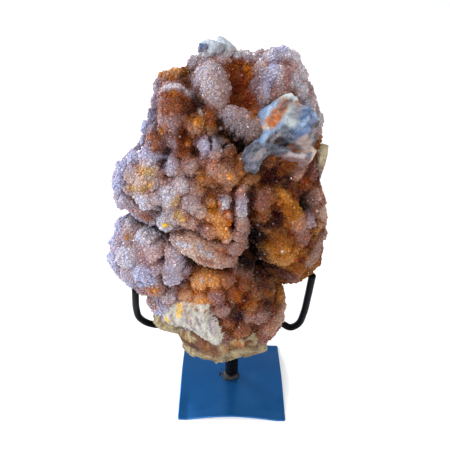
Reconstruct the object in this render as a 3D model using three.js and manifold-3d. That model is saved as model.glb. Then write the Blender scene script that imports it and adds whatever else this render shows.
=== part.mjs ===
// Amethyst cluster standing in a welded iron cradle on a square plate.
// Millimetres, +Z up, -Y towards the front, where the crystals are.
// The pieces are placed about the foot of the post, and the whole group is
// shifted at the end so that the origin is the middle of its footprint.

import * as THREE from "three";
import { mergeVertices } from "three/addons/utils/BufferGeometryUtils.js";
import Module from "manifold-3d";

// ---- driving dimensions -------------------------------------------------

const GAP = 0.4; // clearance between pieces that touch

const PLATE_SIDE = 102;
const PLATE_THICKNESS = 2;
const PLATE_RISE = 5; // how far the middle stands above the four corners
const PLATE_FALL = 1.6; // power of the fall from the middle: higher keeps the middle flatter
const PLATE_CELLS = 8;
const CORNER_FOOT = 9; // side of the flat pad under each corner

const POST_RADIUS = 6;
const RIB_HEIGHT = 0.8;
const RIB_PITCH = 8;
const RIB_HALF_WIDTH = 1.5;
const POST_SIDES = 10;

const ROD_RADIUS = 3.2;
const ROD_SIDES = 8;
const ROD_STEPS = 40;
const ROD_AT_POST = new THREE.Vector3(0, 2, 76.5); // where the rod crosses the post

// Weld beads: half sizes, how far from the post's axis or under the rod, lumps.
const BEAD_LUMP = 0.08; // height of a lump, as a part of the bead's half size
const FOOT_BEAD = new THREE.Vector3(12, 11, 6);
const FOOT_BEAD_OFFSET = -1; // along x and y
const FOOT_BEAD_LUMPS = 7;
const CRADLE_BEAD = new THREE.Vector3(9.5, 8.5, 6.5);
const CRADLE_BEAD_DROP = 4.5;
const CRADLE_BEAD_LUMPS = 5;

// The middle of the stone, and the half sizes of the flat core inside it from
// which every lobe, knob and pit is measured outwards.
const CENTRE = new THREE.Vector3(-12, -4, 200);
const CORE = new THREE.Vector3(56, 8, 104);

// Facets of the stone along x, y and z, and how far they crowd to the front.
const STONE_CELLS = [24, 12, 34];
const FRONT_CROWDING = 0.2;

// Alternate corners of the facets stand out as the points of the druse.
const POINT_HEIGHT = 1.4;
const DRUSE_EDGE = 0.3; // directions whose y is past this belong to the broken back

// Large forms of the stone: x, y, z of the middle, then the three half sizes.
const LOBES = [
  [-8, -4, 205, 80, 46, 80], // middle of the body
  [-4, 0, 268, 56, 42, 58], // upper body
  [-20, 4, 307, 22, 28, 31], // crown, left
  [30, 0, 305, 23, 30, 31], // crown, right
  [4, 4, 298, 40, 28, 33], // saddle between the crowns
  [-47, -4, 291, 19, 28, 30], // lump at the top left
  [-54, -4, 262, 23, 30, 24], // neck under the lump
  [-60, -8, 230, 43, 38, 33], // left shoulder
  [-71, -10, 163, 40, 40, 37], // left lower lobe
  [41, 2, 268, 29, 32, 46], // right flank
  [38, 0, 190, 42, 38, 56], // right lobe
  [52, -6, 160, 24, 28, 25], // right tip
  [-12, -9, 129, 55, 40, 50], // lower body
  [-14, -32, 93, 34, 20, 31], // front lip
  [18, -20, 107, 29, 25, 43], // lower right
  [-50, -14, 118, 30, 26, 35], // lower left
];
const LOBE_BLEND = 18;

// Broken faces at the back: outward direction, then distance from CENTRE.
const BREAKS = [
  [0.1, 1, 0.04, 38], // main face
  [0.66, 0.74, 0.1, 60], // right, behind the flank
  [-0.7, 0.7, 0.16, 70], // left, behind the shoulder
  [0.16, 0.72, 0.66, 104], // behind the crowns
  [-0.12, 0.84, -0.52, 78], // down towards the rod
  [-0.36, 0.9, 0.3, 49], // shallow face, upper left
  [0.3, 0.93, -0.3, 45], // shallow face, lower right
  [-0.42, 0.88, -0.34, 62], // shallow face, lower left
];
const BREAK_BLEND = 3;

// Pits, knobs and creases lie where a line of sight from EYE, in front and
// above, passes through the upright sheet y = SHEET_Y and meets the stone.
// They are given by x and z on that sheet.
const EYE = new THREE.Vector3(-9, -413, 428);
const SHEET_Y = -40;

// x, z, radius, depth
const PITS = [
  // rusty hollow between the crowns
  [-3, 328, 15, 15], [2, 317, 15, 17], [4, 308, 10, 14],
  // dark hollow under the finger
  [-6, 284, 12, 26], [5, 276, 12, 26], [-12, 289, 8, 20], [13, 282, 7, 16],
  // dark valley on the lower right
  [20, 191, 11, 20], [17, 172, 15, 30], [30, 159, 14, 28], [44, 157, 9, 20],
  // inside and beside the amber ring
  [32, 212, 9, 13], [55, 228, 8, 12], [20, 202, 8, 12],
  // sparkling rusty zone
  [22, 251, 13, 12], [34, 246, 11, 10],
  // dark places beside the big knob
  [-30, 306, 7, 12], [-34, 301, 5, 10],
  // purple cleft above the left shoulder
  [-55, 270, 5, 12], [-56, 260, 5, 12], [-55, 249, 3, 6],
  // small dark places
  [-32, 270, 5, 8], [-68, 204, 5, 7], [2, 117, 6, 8], [20, 102, 4, 6], [37, 276, 5, 9],
];

// Creases: points along each on the sheet, half width, depth.
const CREASES = [
  // over and under the slanting ridge
  [[[-86, 236], [-75, 226], [-64, 217]], 3, 5],
  [[[-88, 217], [-77, 209], [-67, 201]], 4, 7],
  // olive groove
  [[[-62, 205], [-61, 188], [-61, 173]], 4, 8],
  // round the egg and the pale ridge
  [[[-55, 198], [-44, 182], [-36, 171], [-28, 165], [-17, 163], [-6, 165]], 3.5, 8],
  [[[-62, 173], [-62, 153], [-55, 143]], 2.5, 5],
  // either side of the lilac column
  [[[-2, 239], [-2, 217], [-2, 195]], 3, 6],
  [[[10, 239], [13, 218], [11, 195]], 4.5, 8],
  // under the boulder
  [[[-60, 224], [-61, 208]], 2.5, 5],
  [[[-50, 198], [-36, 202], [-25, 194], [-11, 191]], 2.5, 4],
  // between the pale knobs
  [[[-23, 290], [-20, 278], [-18, 266]], 1.5, 5],
  // right of the right crown's pale side
  [[[16, 304], [12, 315], [9, 325]], 2.5, 4],
];

// Rounded knobs of crystal: x, z, radius.
const KNOBS = [
  // lump at the top left
  [-46, 310, 13], [-49, 295, 10], [-55, 318, 7], [-58, 307, 6], [-60, 296, 6], [-61, 286, 6],
  [-38, 304, 7], [-51, 325, 7], [-43, 325, 7], [-36, 321, 5], [-39, 296, 5],
  // left crown
  [-31, 333, 6], [-29, 322, 7], [-31, 314, 5], [-19, 326, 12], [-17, 318, 12], [-16, 311, 10],
  [-21, 341, 8], [-12, 341, 6], [-12, 336, 6], [-3, 338, 5], [4, 338, 6],
  // right crown
  [11, 337, 6], [15, 330, 7], [15, 320, 8], [17, 311, 7], [21, 338, 7], [29, 340, 8], [36, 337, 7],
  [24, 328, 7], [33, 324, 10], [41, 327, 7], [41, 316, 8], [30, 315, 6], [48, 307, 8], [55, 296, 7],
  // finger and the amber knob
  [-5, 298, 7], [-1, 297, 8], [3, 295, 8], [7, 292, 8], [12, 288, 8], [-30, 292, 10], [-20, 299, 5],
  [-20, 288, 5],
  // pale knobs under them
  [-24, 274, 6], [-15, 277, 7], [-16, 268, 6], [-6, 270, 6], [4, 263, 6], [-6, 261, 5],
  // slate-blue and grey knobs
  [38, 260, 7], [46, 257, 6], [23, 263, 6], [55, 258, 5],
  // column at the left and its edge
  [-61, 277, 8], [-54, 286, 5], [-45, 278, 7], [-37, 276, 5], [-39, 267, 6], [-49, 267, 7], [-65, 288, 7],
  [-68, 277, 5],
  // left shoulder
  [-66, 265, 10], [-76, 262, 8], [-85, 255, 8], [-89, 242, 8], [-90, 229, 8], [-67, 253, 9],
  [-78, 250, 8], [-73, 243, 8], [-63, 243, 6], [-72, 229, 9], [-62, 230, 6], [-81, 237, 5],
  // rows across the middle
  [-49, 257, 8], [-35, 257, 8], [-43, 251, 5], [-14, 254, 10], [-6, 252, 10], [-6, 242, 5], [2, 256, 6],
  [11, 249, 8], [-25, 248, 7], [-18, 245, 5], [-31, 239, 8],
  // pale boulder
  [-53, 232, 10], [-43, 241, 8], [-36, 227, 9], [-57, 211, 10], [-46, 217, 10], [-36, 211, 7],
  [-28, 220, 7],
  // orange patch
  [-16, 216, 8], [-10, 226, 5], [-6, 214, 7], [-12, 204, 8], [-21, 202, 7], [-4, 198, 7], [-19, 227, 5],
  [0, 237, 5],
  // lilac column
  [5, 230, 7], [4, 220, 7], [4, 209, 7], [3, 198, 7], [0, 186, 7], [7, 239, 5],
  // amber ring and orange knob
  [20, 225, 7], [23, 234, 8], [30, 237, 8], [36, 232, 8], [41, 225, 8], [46, 217, 8], [50, 208, 8],
  [52, 198, 8], [23, 217, 6], [38, 191, 10], [43, 179, 10], [35, 201, 6], [49, 188, 7],
  // right edge
  [51, 246, 8], [58, 234, 8], [55, 252, 6], [56, 212, 6], [63, 207, 6], [54, 197, 6], [66, 220, 7],
  [68, 201, 6], [64, 189, 7], [52, 169, 7], [61, 178, 8], [54, 185, 6], [47, 160, 5], [33, 256, 6],
  [44, 251, 5], [18, 252, 5],
  // slanting ridge
  [-86, 229, 5], [-81, 224, 5], [-76, 220, 5], [-71, 215, 5], [-66, 212, 4],
  // left lower lobe
  [-91, 206, 8], [-95, 190, 9], [-99, 172, 10], [-86, 195, 8], [-82, 207, 7], [-73, 194, 10],
  [-89, 175, 11], [-78, 160, 9], [-68, 179, 9], [-89, 158, 8], [-66, 164, 6],
  // egg-shaped knob
  [-52, 179, 10], [-53, 169, 10], [-54, 158, 10],
  // pale ridge
  [-48, 194, 8], [-41, 189, 10], [-32, 185, 11], [-24, 179, 11], [-15, 175, 10], [-6, 174, 7],
  // small orange knob
  [-30, 151, 8], [-24, 155, 8], [-17, 152, 7],
  // lower body
  [-41, 165, 6], [-5, 153, 7], [-68, 143, 8], [-78, 143, 6], [-56, 137, 8], [-40, 138, 8], [-42, 149, 5],
  [-71, 131, 6], [-28, 134, 7], [-15, 136, 9], [-10, 122, 8], [1, 139, 8], [7, 148, 6], [14, 129, 7],
  [20, 142, 8], [28, 144, 8], [38, 137, 7], [32, 125, 7], [8, 100, 9], [-4, 110, 7], [24, 116, 8],
  [32, 103, 8], [14, 115, 7], [39, 113, 7], [25, 90, 7], [41, 127, 6],
];
const KNOB_SHOWS = 0.52; // part of a knob's radius that stands out of the stone
const KNOB_BLEND = 7;

// Faces bare of crystal: height over the body, outline of x and z on the sheet.
const FACES = [
  {
    // agate on the right flank
    rise: 4,
    outline: [
      [6, 255], [4, 265], [8, 272], [15, 278], [18, 285], [15, 293], [17, 302], [22, 306], [29, 311],
      [33, 312], [37, 308], [41, 302], [47, 300], [51, 296], [53, 291], [54, 281], [53, 272], [52, 264],
      [48, 258], [46, 261], [38, 264], [31, 268], [24, 269], [17, 263], [13, 254],
    ],
  },
  {
    // milky quartz over the lip
    rise: 3,
    outline: [
      [-63, 114], [-57, 122], [-47, 128], [-37, 130], [-27, 132], [-21, 126], [-21, 117], [-18, 108],
      [-11, 100], [-9, 90], [-13, 80], [-20, 83], [-27, 89], [-35, 97], [-44, 103], [-54, 104], [-61, 108],
    ],
  },
  {
    // layered rock of the lip
    rise: 2.4,
    outline: [
      [-90, 75], [-75, 115], [-68, 111], [-61, 106], [-51, 102], [-41, 98], [-33, 92], [-24, 84], [-14, 77],
      [-6, 78], [3, 85], [11, 89], [19, 90], [25, 86], [33, 81], [43, 62], [30, 20], [-70, 20],
    ],
  },
];
const FACE_SLOPE = 4; // width of the slope round a face, half of it outside the outline

// Single crystals large enough to stand out from the druse.
const CRYSTAL_COUNT = 24;
const CRYSTAL_RADIUS = 3.2;
const CRYSTAL_STANDS = 3.6; // tip above the stone
const CRYSTAL_ROOT = 4; // foot below the stone
const CRYSTAL_POINT = 3.2; // height of the pointed end
const CRYSTAL_SIZES = [0.85, 1.15]; // smallest and largest, as parts of the radius
const CRYSTAL_SPREAD = 1.15; // how far round the stone they reach: 1 is the front half

// Broken pieces grown into the stone, each an outline of x and z between two
// values of y.
const SHARDS = [
  {
    // stones on the left crown
    outline: [[-29, 328], [-28, 337], [-21, 341], [-13, 341.5], [-3, 342.5], [-1, 335], [-5, 327]],
    front: -16,
    back: 4,
  },
  {
    // flake on the right flank
    outline: [[62, 234], [61, 262], [64, 269], [69, 268], [72.5, 260], [72.5, 243], [68, 233]],
    front: -17,
    back: 1,
  },
];
const SHARD_BEVEL = 1.5;

// The rod's route, from the left tip under the stone to the right tip.
const ROD_ROUTE = [
  [-86.5, -19, 130],
  [-88, -14, 115],
  [-89.5, -7, 98],
  [-88, -3, 84],
  [-80, 0, 74.5],
  [-66, 1, 71.5],
  [-35, 2, 74.5],
  ROD_AT_POST.toArray(),
  [28, 2, 76.5],
  [46, 1, 76],
  [55, 0, 72],
  [62, -1, 77],
  [65.5, -6, 95],
  [66.5, -12, 118],
  [67, -20, 148],
];

// ---- materials ----------------------------------------------------------

const blueEnamel = new THREE.MeshStandardMaterial({ color: 0x15508f, roughness: 0.3, metalness: 0.3 });
const blackPaint = new THREE.MeshStandardMaterial({ color: 0x101014, roughness: 0.45, metalness: 0.3 });
const burntWeld = new THREE.MeshStandardMaterial({ color: 0x1c1b1e, roughness: 0.6, metalness: 0.5 });
const amethyst = new THREE.MeshStandardMaterial({ color: 0xb49aa8, roughness: 0.3, metalness: 0 });

// ---- solids -------------------------------------------------------------

const wasm = await Module();
wasm.setup();

const MERGE_DISTANCE = 1e-4; // corners nearer than this are one

/** A closed mesh as a solid that can be joined and cut. */
function toSolid(geometry) {
  const bare = geometry.clone();
  bare.deleteAttribute("normal");
  bare.deleteAttribute("uv");
  const merged = mergeVertices(bare, MERGE_DISTANCE);
  return new wasm.Manifold(
    new wasm.Mesh({
      numProp: 3,
      vertProperties: new Float32Array(merged.attributes.position.array),
      triVerts: new Uint32Array(merged.index.array),
    }),
  );
}

/** A solid as a geometry again. */
function toGeometry(solid) {
  const { vertProperties, triVerts } = solid.getMesh();
  const geometry = new THREE.BufferGeometry();
  geometry.setAttribute("position", new THREE.BufferAttribute(new Float32Array(vertProperties), 3));
  geometry.setIndex(new THREE.BufferAttribute(new Uint32Array(triVerts), 1));
  geometry.computeVertexNormals();
  return geometry;
}

/** A geometry from points and the quads between them, each quad cut in two. */
function quadGeometry(points, quads) {
  const geometry = new THREE.BufferGeometry();
  geometry.setAttribute(
    "position",
    new THREE.Float32BufferAttribute(points.flatMap((point) => point.toArray()), 3),
  );
  geometry.setIndex(quads.flatMap(([a, b, c, d]) => [a, b, c, a, c, d]));
  geometry.computeVertexNormals();
  return geometry;
}

function namedMesh(name, geometry, material) {
  const mesh = new THREE.Mesh(geometry, material);
  mesh.name = name;
  return mesh;
}

// ---- base plate ---------------------------------------------------------

/** Top of the plate: high in the middle, falling to a flat pad at each corner. */
function plateTop(x, y) {
  const reach = PLATE_SIDE / 2 - CORNER_FOOT;
  const along = Math.min(Math.abs(x) / reach, 1);
  const across = Math.min(Math.abs(y) / reach, 1);
  return PLATE_THICKNESS + PLATE_RISE * (1 - (along * across) ** PLATE_FALL);
}

function platePoints() {
  const half = PLATE_SIDE / 2;
  const inner = half - CORNER_FOOT;
  const middle = Array.from(
    { length: PLATE_CELLS - 1 },
    (_, i) => -inner + (2 * inner * i) / (PLATE_CELLS - 2),
  );
  return [-half, ...middle, half];
}

function basePlate() {
  const lines = platePoints();
  const count = lines.length;
  const top = lines.flatMap((x) => lines.map((y) => new THREE.Vector3(x, y, plateTop(x, y))));
  const underside = top.map((point) => point.clone().setZ(point.z - PLATE_THICKNESS));
  const at = (i, j) => i * count + j;
  const below = top.length;
  const quads = [];
  for (let i = 0; i < count - 1; i += 1) {
    for (let j = 0; j < count - 1; j += 1) {
      const corners = [at(i, j), at(i + 1, j), at(i + 1, j + 1), at(i, j + 1)];
      quads.push(corners);
      quads.push(corners.map((corner) => corner + below).reverse());
    }
  }
  const last = count - 1;
  for (let i = 0; i < last; i += 1) {
    const rims = [
      [at(i, 0), at(i + 1, 0)],
      [at(last, i), at(last, i + 1)],
      [at(i + 1, last), at(i, last)],
      [at(0, i + 1), at(0, i)],
    ];
    for (const [from, to] of rims) {
      quads.push([from + below, to + below, to, from]);
    }
  }
  return quadGeometry([...top, ...underside], quads);
}

// ---- post, rod and welds ------------------------------------------------

const POST_FOOT = PLATE_RISE + PLATE_THICKNESS + GAP;
const POST_HEAD = ROD_AT_POST.z - ROD_RADIUS - GAP;

/** A ribbed reinforcing bar: hoops on a straight bar, turned about its axis. */
function ribbedPost(extra = 0) {
  const profile = [
    new THREE.Vector2(0, POST_FOOT - extra),
    new THREE.Vector2(POST_RADIUS + extra, POST_FOOT - extra),
  ];
  const ribs = Math.floor((POST_HEAD - POST_FOOT) / RIB_PITCH);
  for (let i = 0; i < ribs; i += 1) {
    const z = POST_FOOT + (i + 0.5) * RIB_PITCH;
    profile.push(new THREE.Vector2(POST_RADIUS + extra, z - RIB_HALF_WIDTH));
    profile.push(new THREE.Vector2(POST_RADIUS + RIB_HEIGHT + extra, z));
    profile.push(new THREE.Vector2(POST_RADIUS + extra, z + RIB_HALF_WIDTH));
  }
  profile.push(new THREE.Vector2(POST_RADIUS + extra, POST_HEAD + extra));
  profile.push(new THREE.Vector2(0, POST_HEAD + extra));
  const post = new THREE.LatheGeometry(profile, POST_SIDES);
  post.rotateX(Math.PI / 2);
  post.translate(ROD_AT_POST.x, ROD_AT_POST.y, 0);
  return post;
}

/** Round bar bent along the rod's route. */
function cradleRod(extra = 0) {
  const route = new THREE.CatmullRomCurve3(
    ROD_ROUTE.map((point) => new THREE.Vector3(...point)),
    false,
    "centripetal",
  );
  const section = new THREE.Shape(
    Array.from({ length: ROD_SIDES }, (_, i) => {
      const turn = (2 * Math.PI * i) / ROD_SIDES;
      return new THREE.Vector2(Math.cos(turn), Math.sin(turn)).multiplyScalar(ROD_RADIUS + extra);
    }),
  );
  return new THREE.ExtrudeGeometry(section, { steps: ROD_STEPS, extrudePath: route });
}

/** A lumpy bead: a ball pulled to the given half sizes, with even lumps round it. */
function weldBead(centre, halfSizes, lumps) {
  const bead = new THREE.IcosahedronGeometry(1, 2);
  const position = bead.attributes.position;
  for (let i = 0; i < position.count; i += 1) {
    const point = new THREE.Vector3().fromBufferAttribute(position, i);
    const lump = 1 + BEAD_LUMP * Math.cos(lumps * Math.atan2(point.y, point.x));
    point.multiplyScalar(lump).multiply(halfSizes).add(centre);
    position.setXYZ(i, point.x, point.y, point.z);
  }
  return bead;
}

const BOX_SPAN = 4; // the box that trims a bead is this many half sizes wide
const CRADLE_BEAD_MIDDLE = ROD_AT_POST.clone().setZ(ROD_AT_POST.z - CRADLE_BEAD_DROP);

/** Weld round the foot of the post, flat underneath where it lies on the plate. */
function footWeld() {
  const middle = new THREE.Vector3(
    ROD_AT_POST.x + FOOT_BEAD_OFFSET,
    ROD_AT_POST.y + FOOT_BEAD_OFFSET,
    POST_FOOT,
  );
  const side = BOX_SPAN * Math.max(...FOOT_BEAD.toArray());
  const above = new THREE.BoxGeometry(side, side, side);
  above.translate(middle.x, middle.y, POST_FOOT + side / 2);
  return toGeometry(
    toSolid(weldBead(middle, FOOT_BEAD, FOOT_BEAD_LUMPS))
      .intersect(toSolid(above))
      .subtract(toSolid(ribbedPost(GAP))),
  );
}

/** Weld between the head of the post and the rod that crosses it. */
function cradleWeld() {
  return toGeometry(
    toSolid(weldBead(CRADLE_BEAD_MIDDLE, CRADLE_BEAD, CRADLE_BEAD_LUMPS))
      .subtract(toSolid(ribbedPost(GAP)))
      .subtract(toSolid(cradleRod(GAP))),
  );
}

// ---- stone --------------------------------------------------------------

const FAR = 1000; // the reach of a ray that meets nothing
const LEAST_SLOPE = 0.05; // a ray flatter than this to a broken face never meets it
const SIGHT_STEPS = [-60, 130]; // lines of sight are followed this far before and past the sheet
const SEARCH_REACH = 400; // every point of the stone lies nearer the core than this
const SEARCH_STEPS = 40; // halvings of the search for a point's reach
const PIT_RIM = 1.25; // a pit ends at this many radii
const PIT_SLOPE = 0.9; // and takes this many radii to fall to its full depth
const PIT_BLEND = 4;
const CREASE_SCALE = 0.8; // a crease's half width, as a part of a pit's radius

/** Larger of two values, with a rounded corner of width k where they meet. */
function smoothMax(a, b, k) {
  const h = Math.max(k - Math.abs(a - b), 0) / k;
  return Math.max(a, b) + (h * h * k) / 4;
}

/**
 * How far a ray runs before it leaves an ellipsoid. Rays that just miss get a
 * value that falls away steadily, so that the edge of the form has no jump.
 */
function exitReach(origin, direction, centre, halfSizes) {
  const from = origin.clone().sub(centre).divide(halfSizes);
  const along = direction.clone().divide(halfSizes);
  const a = along.lengthSq();
  const b = from.dot(along);
  const inside = b * b - a * (from.lengthSq() - 1);
  return (-b + Math.sign(inside) * Math.sqrt(Math.abs(inside))) / a;
}

/** Foot of a ray on the core: the core's surface point with that direction. */
function coreFoot(direction) {
  return direction.clone().multiply(CORE).add(CENTRE);
}

/** The point a given reach out from the core. */
function pointAt(direction, reach) {
  return coreFoot(direction).addScaledVector(direction, reach);
}

/** Direction and reach of a point: the ellipsoid about the core it lies on. */
function coreCoordinates(point) {
  const offset = point.clone().sub(CENTRE);
  const size = (reach) => CORE.clone().addScalar(reach);
  let low = 1 - Math.min(...CORE.toArray());
  let high = SEARCH_REACH;
  for (let i = 0; i < SEARCH_STEPS; i += 1) {
    const middle = (low + high) / 2;
    if (offset.clone().divide(size(middle)).lengthSq() > 1) {
      low = middle;
    } else {
      high = middle;
    }
  }
  return { direction: offset.divide(size(high)), reach: high };
}

/** How far a ray runs before it meets a broken face; past any end if it never does. */
function breakReach(origin, direction, [x, y, z, distance]) {
  const outward = new THREE.Vector3(x, y, z).normalize();
  const towards = direction.dot(outward);
  const offset = origin.clone().sub(CENTRE).dot(outward);
  return towards > LEAST_SLOPE ? (distance - offset) / towards : FAR;
}

/** Reach of the smooth body: all the lobes, blended, less what broke away. */
function bodyReach(direction) {
  const origin = coreFoot(direction);
  const whole = LOBES.map(([x, y, z, ...halfSizes]) =>
    exitReach(origin, direction, new THREE.Vector3(x, y, z), new THREE.Vector3(...halfSizes)),
  ).reduce((reach, next) => smoothMax(reach, next, LOBE_BLEND));
  return BREAKS.reduce(
    (reach, face) => -smoothMax(-reach, -breakReach(origin, direction, face), BREAK_BLEND),
    whole,
  );
}

/**
 * Where the line of sight through a place on the sheet meets the stone, or
 * the point of the stone nearest to the line where it passes by.
 */
function seen(sheetX, sheetZ, reachOf) {
  const sheet = new THREE.Vector3(sheetX, SHEET_Y, sheetZ);
  const sight = sheet.clone().sub(EYE).normalize();
  let nearest = { gap: Infinity };
  for (let step = SIGHT_STEPS[0]; step < SIGHT_STEPS[1]; step += 1) {
    const { direction, reach } = coreCoordinates(sheet.clone().addScaledVector(sight, step));
    const gap = reach - reachOf(direction);
    if (gap < nearest.gap) {
      nearest = { gap, direction };
    }
    if (gap < 0) {
      break;
    }
  }
  const { direction } = nearest;
  return { direction, point: pointAt(direction, reachOf(direction)) };
}

/** 1 over the middle of a pit, 0 past its rim, with an even slope between. */
function pitShape(distance) {
  return THREE.MathUtils.smoothstep(PIT_RIM - distance, 0, PIT_SLOPE);
}

const pits = PITS.map(([x, z, radius, depth]) => ({ ...seen(x, z, bodyReach), radius, depth }));

/** Reach of the body with its pits. */
function pittedReach(direction) {
  const reach = bodyReach(direction);
  const point = pointAt(direction, reach);
  const depths = pits.map((pit) => pit.depth * pitShape(point.distanceTo(pit.point) / pit.radius));
  return reach - depths.reduce((depth, next) => smoothMax(depth, next, PIT_BLEND), 0);
}

const knobs = KNOBS.map(([x, z, radius]) => {
  const { direction, point } = seen(x, z, pittedReach);
  return { centre: point.addScaledVector(direction, -(1 - KNOB_SHOWS) * radius), radius };
});

const creases = CREASES.flatMap(([line, halfWidth, depth]) => {
  const points = line.map(([x, z]) => seen(x, z, pittedReach).point);
  return points.slice(1).map((end, i) => ({ span: new THREE.Line3(points[i], end), halfWidth, depth }));
});

/** x and z where the line of sight to a point crosses the sheet. */
function onSheet(point) {
  return EYE.clone().lerp(point, (SHEET_Y - EYE.y) / (point.y - EYE.y));
}

/** How far a place lies inside an outline on the sheet; negative outside it. */
function insideOutline(place, outline) {
  const flat = new THREE.Vector3(place.x, place.z, 0);
  const corners = outline.map(([x, z]) => new THREE.Vector3(x, z, 0));
  let away = Infinity;
  let inside = false;
  corners.forEach((start, i) => {
    const end = corners[(i + 1) % corners.length];
    const nearest = new THREE.Line3(start, end).closestPointToPoint(flat, true, new THREE.Vector3());
    away = Math.min(away, nearest.distanceTo(flat));
    const crossing = start.x + ((flat.y - start.y) * (end.x - start.x)) / (end.y - start.y);
    if (start.y > flat.y !== end.y > flat.y && flat.x < crossing) {
      inside = !inside;
    }
  });
  return inside ? away : -away;
}

/** Reach of the bare faces: the body raised inside each outline. */
function facesReach(direction) {
  const body = bodyReach(direction);
  const place = onSheet(pointAt(direction, body));
  const heights = FACES.map(({ rise, outline }) => {
    const inside = insideOutline(place, outline);
    return rise * (2 * THREE.MathUtils.smoothstep(inside, -FACE_SLOPE / 2, FACE_SLOPE / 2) - 1);
  });
  return body + Math.max(...heights);
}

/** Reach of the whole stone: pitted body, knobs and creases, then the bare faces. */
function stoneReach(direction) {
  const origin = coreFoot(direction);
  const raised = knobs.reduce((reach, { centre, radius }) => {
    const halfSizes = new THREE.Vector3(radius, radius, radius);
    return smoothMax(reach, exitReach(origin, direction, centre, halfSizes), KNOB_BLEND);
  }, pittedReach(direction));
  const point = pointAt(direction, raised);
  const depths = creases.map(({ span, halfWidth, depth }) => {
    const nearest = span.closestPointToPoint(point, true, new THREE.Vector3());
    return depth * pitShape((CREASE_SCALE * point.distanceTo(nearest)) / halfWidth);
  });
  return Math.max(raised - Math.max(0, ...depths), direction.y < DRUSE_EDGE ? facesReach(direction) : 0);
}

/**
 * Directions over a box's surface lattice, crowded to the front, and the quads
 * between them. Each quad starts at a corner whose steps add up to an even
 * number, so that it is cut between its two even corners.
 */
function directionLattice(cells) {
  const directions = [];
  const even = [];
  const found = new Map();
  const vertex = (corner) => {
    const key = corner.join();
    if (!found.has(key)) {
      found.set(key, directions.length);
      even.push(corner.reduce((sum, step) => sum + step) % 2 === 0);
      const spread = corner.map((step, axis) => Math.tan(((2 * step) / cells[axis] - 1) * (Math.PI / 4)));
      const direction = new THREE.Vector3(...spread).normalize();
      direction.y -= FRONT_CROWDING;
      directions.push(direction.normalize());
    }
    return found.get(key);
  };
  const quads = [];
  for (let axis = 0; axis < 3; axis += 1) {
    const [u, v] = [(axis + 1) % 3, (axis + 2) % 3];
    for (const side of [0, cells[axis]]) {
      for (let i = 0; i < cells[u]; i += 1) {
        for (let j = 0; j < cells[v]; j += 1) {
          const quad = [[0, 0], [1, 0], [1, 1], [0, 1]].map(([di, dj]) => {
            const corner = [0, 0, 0];
            corner[axis] = side;
            corner[u] = i + di;
            corner[v] = j + dj;
            return vertex(corner);
          });
          const ordered = side ? quad : quad.reverse();
          quads.push(even[ordered[0]] ? ordered : [...ordered.slice(1), ordered[0]]);
        }
      }
    }
  }
  return { directions, even, quads };
}

const GOLDEN_PART = (Math.sqrt(5) - 1) / 2;
const GOLDEN_TURN = 2 * Math.PI * (1 - GOLDEN_PART);

/** One six-sided crystal with a pointed end, standing along +Z on the origin. */
function crystal(radius) {
  const top = CRYSTAL_STANDS - CRYSTAL_POINT;
  const outline = [
    new THREE.Vector2(0, -CRYSTAL_ROOT),
    new THREE.Vector2(radius, -CRYSTAL_ROOT),
    new THREE.Vector2(radius, top),
    new THREE.Vector2(0, CRYSTAL_STANDS),
  ];
  const column = new THREE.LatheGeometry(outline, 6);
  column.rotateX(Math.PI / 2);
  return column;
}

/** Single crystals spread evenly, on a golden spiral, over the front and the rim. */
function standingCrystals() {
  return Array.from({ length: CRYSTAL_COUNT }, (_, i) => {
    const forward = 1 - (CRYSTAL_SPREAD * (i + 0.5)) / CRYSTAL_COUNT;
    const across = Math.sqrt(1 - forward * forward);
    const direction = new THREE.Vector3(
      across * Math.cos(i * GOLDEN_TURN),
      -forward,
      across * Math.sin(i * GOLDEN_TURN),
    );
    const size = THREE.MathUtils.lerp(...CRYSTAL_SIZES, (i * GOLDEN_PART) % 1);
    const column = crystal(CRYSTAL_RADIUS * size);
    column.rotateZ(i);
    column.applyQuaternion(new THREE.Quaternion().setFromUnitVectors(new THREE.Vector3(0, 0, 1), direction));
    column.translate(...pointAt(direction, stoneReach(direction)).toArray());
    return column;
  });
}

/** A broken piece, upright between its front and back. */
function shard({ outline, front, back }) {
  const shape = new THREE.Shape(outline.map(([x, z]) => new THREE.Vector2(x, z)));
  const slab = new THREE.ExtrudeGeometry(shape, {
    depth: back - front - 2 * SHARD_BEVEL,
    bevelSegments: 1,
    bevelSize: SHARD_BEVEL,
    bevelOffset: -SHARD_BEVEL,
    bevelThickness: SHARD_BEVEL,
  });
  slab.rotateX(Math.PI / 2);
  slab.translate(0, back - SHARD_BEVEL, 0);
  return slab;
}

/** The druse covers the front and the rim; the broken back is bare. */
function druseHeight(direction, even) {
  return even || direction.y > DRUSE_EDGE ? 0 : POINT_HEIGHT;
}

/** The stone with its crystals and shards, hollowed where the rod and weld bear. */
function amethystCluster() {
  const { directions, even, quads } = directionLattice(STONE_CELLS);
  const points = directions.map((direction, i) =>
    pointAt(direction, stoneReach(direction) + druseHeight(direction, even[i])),
  );
  const grown = [...standingCrystals(), ...SHARDS.map(shard)];
  const stone = grown.reduce(
    (solid, piece) => solid.add(toSolid(piece)),
    toSolid(quadGeometry(points, quads)),
  );
  const bead = weldBead(
    CRADLE_BEAD_MIDDLE,
    CRADLE_BEAD.clone().addScalar(GAP),
    CRADLE_BEAD_LUMPS,
  );
  return toGeometry(stone.subtract(toSolid(cradleRod(GAP))).subtract(toSolid(bead)));
}

// ---- assembly -----------------------------------------------------------

const stand = new THREE.Group();
stand.add(
  namedMesh("base_plate", basePlate(), blueEnamel),
  namedMesh("post", ribbedPost(), blackPaint),
  namedMesh("foot_weld", footWeld(), burntWeld),
  namedMesh("cradle_weld", cradleWeld(), burntWeld),
  namedMesh("cradle_rod", cradleRod(), blackPaint),
);

const part = new THREE.Group();
part.add(stand, namedMesh("amethyst_cluster", amethystCluster(), amethyst));

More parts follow.
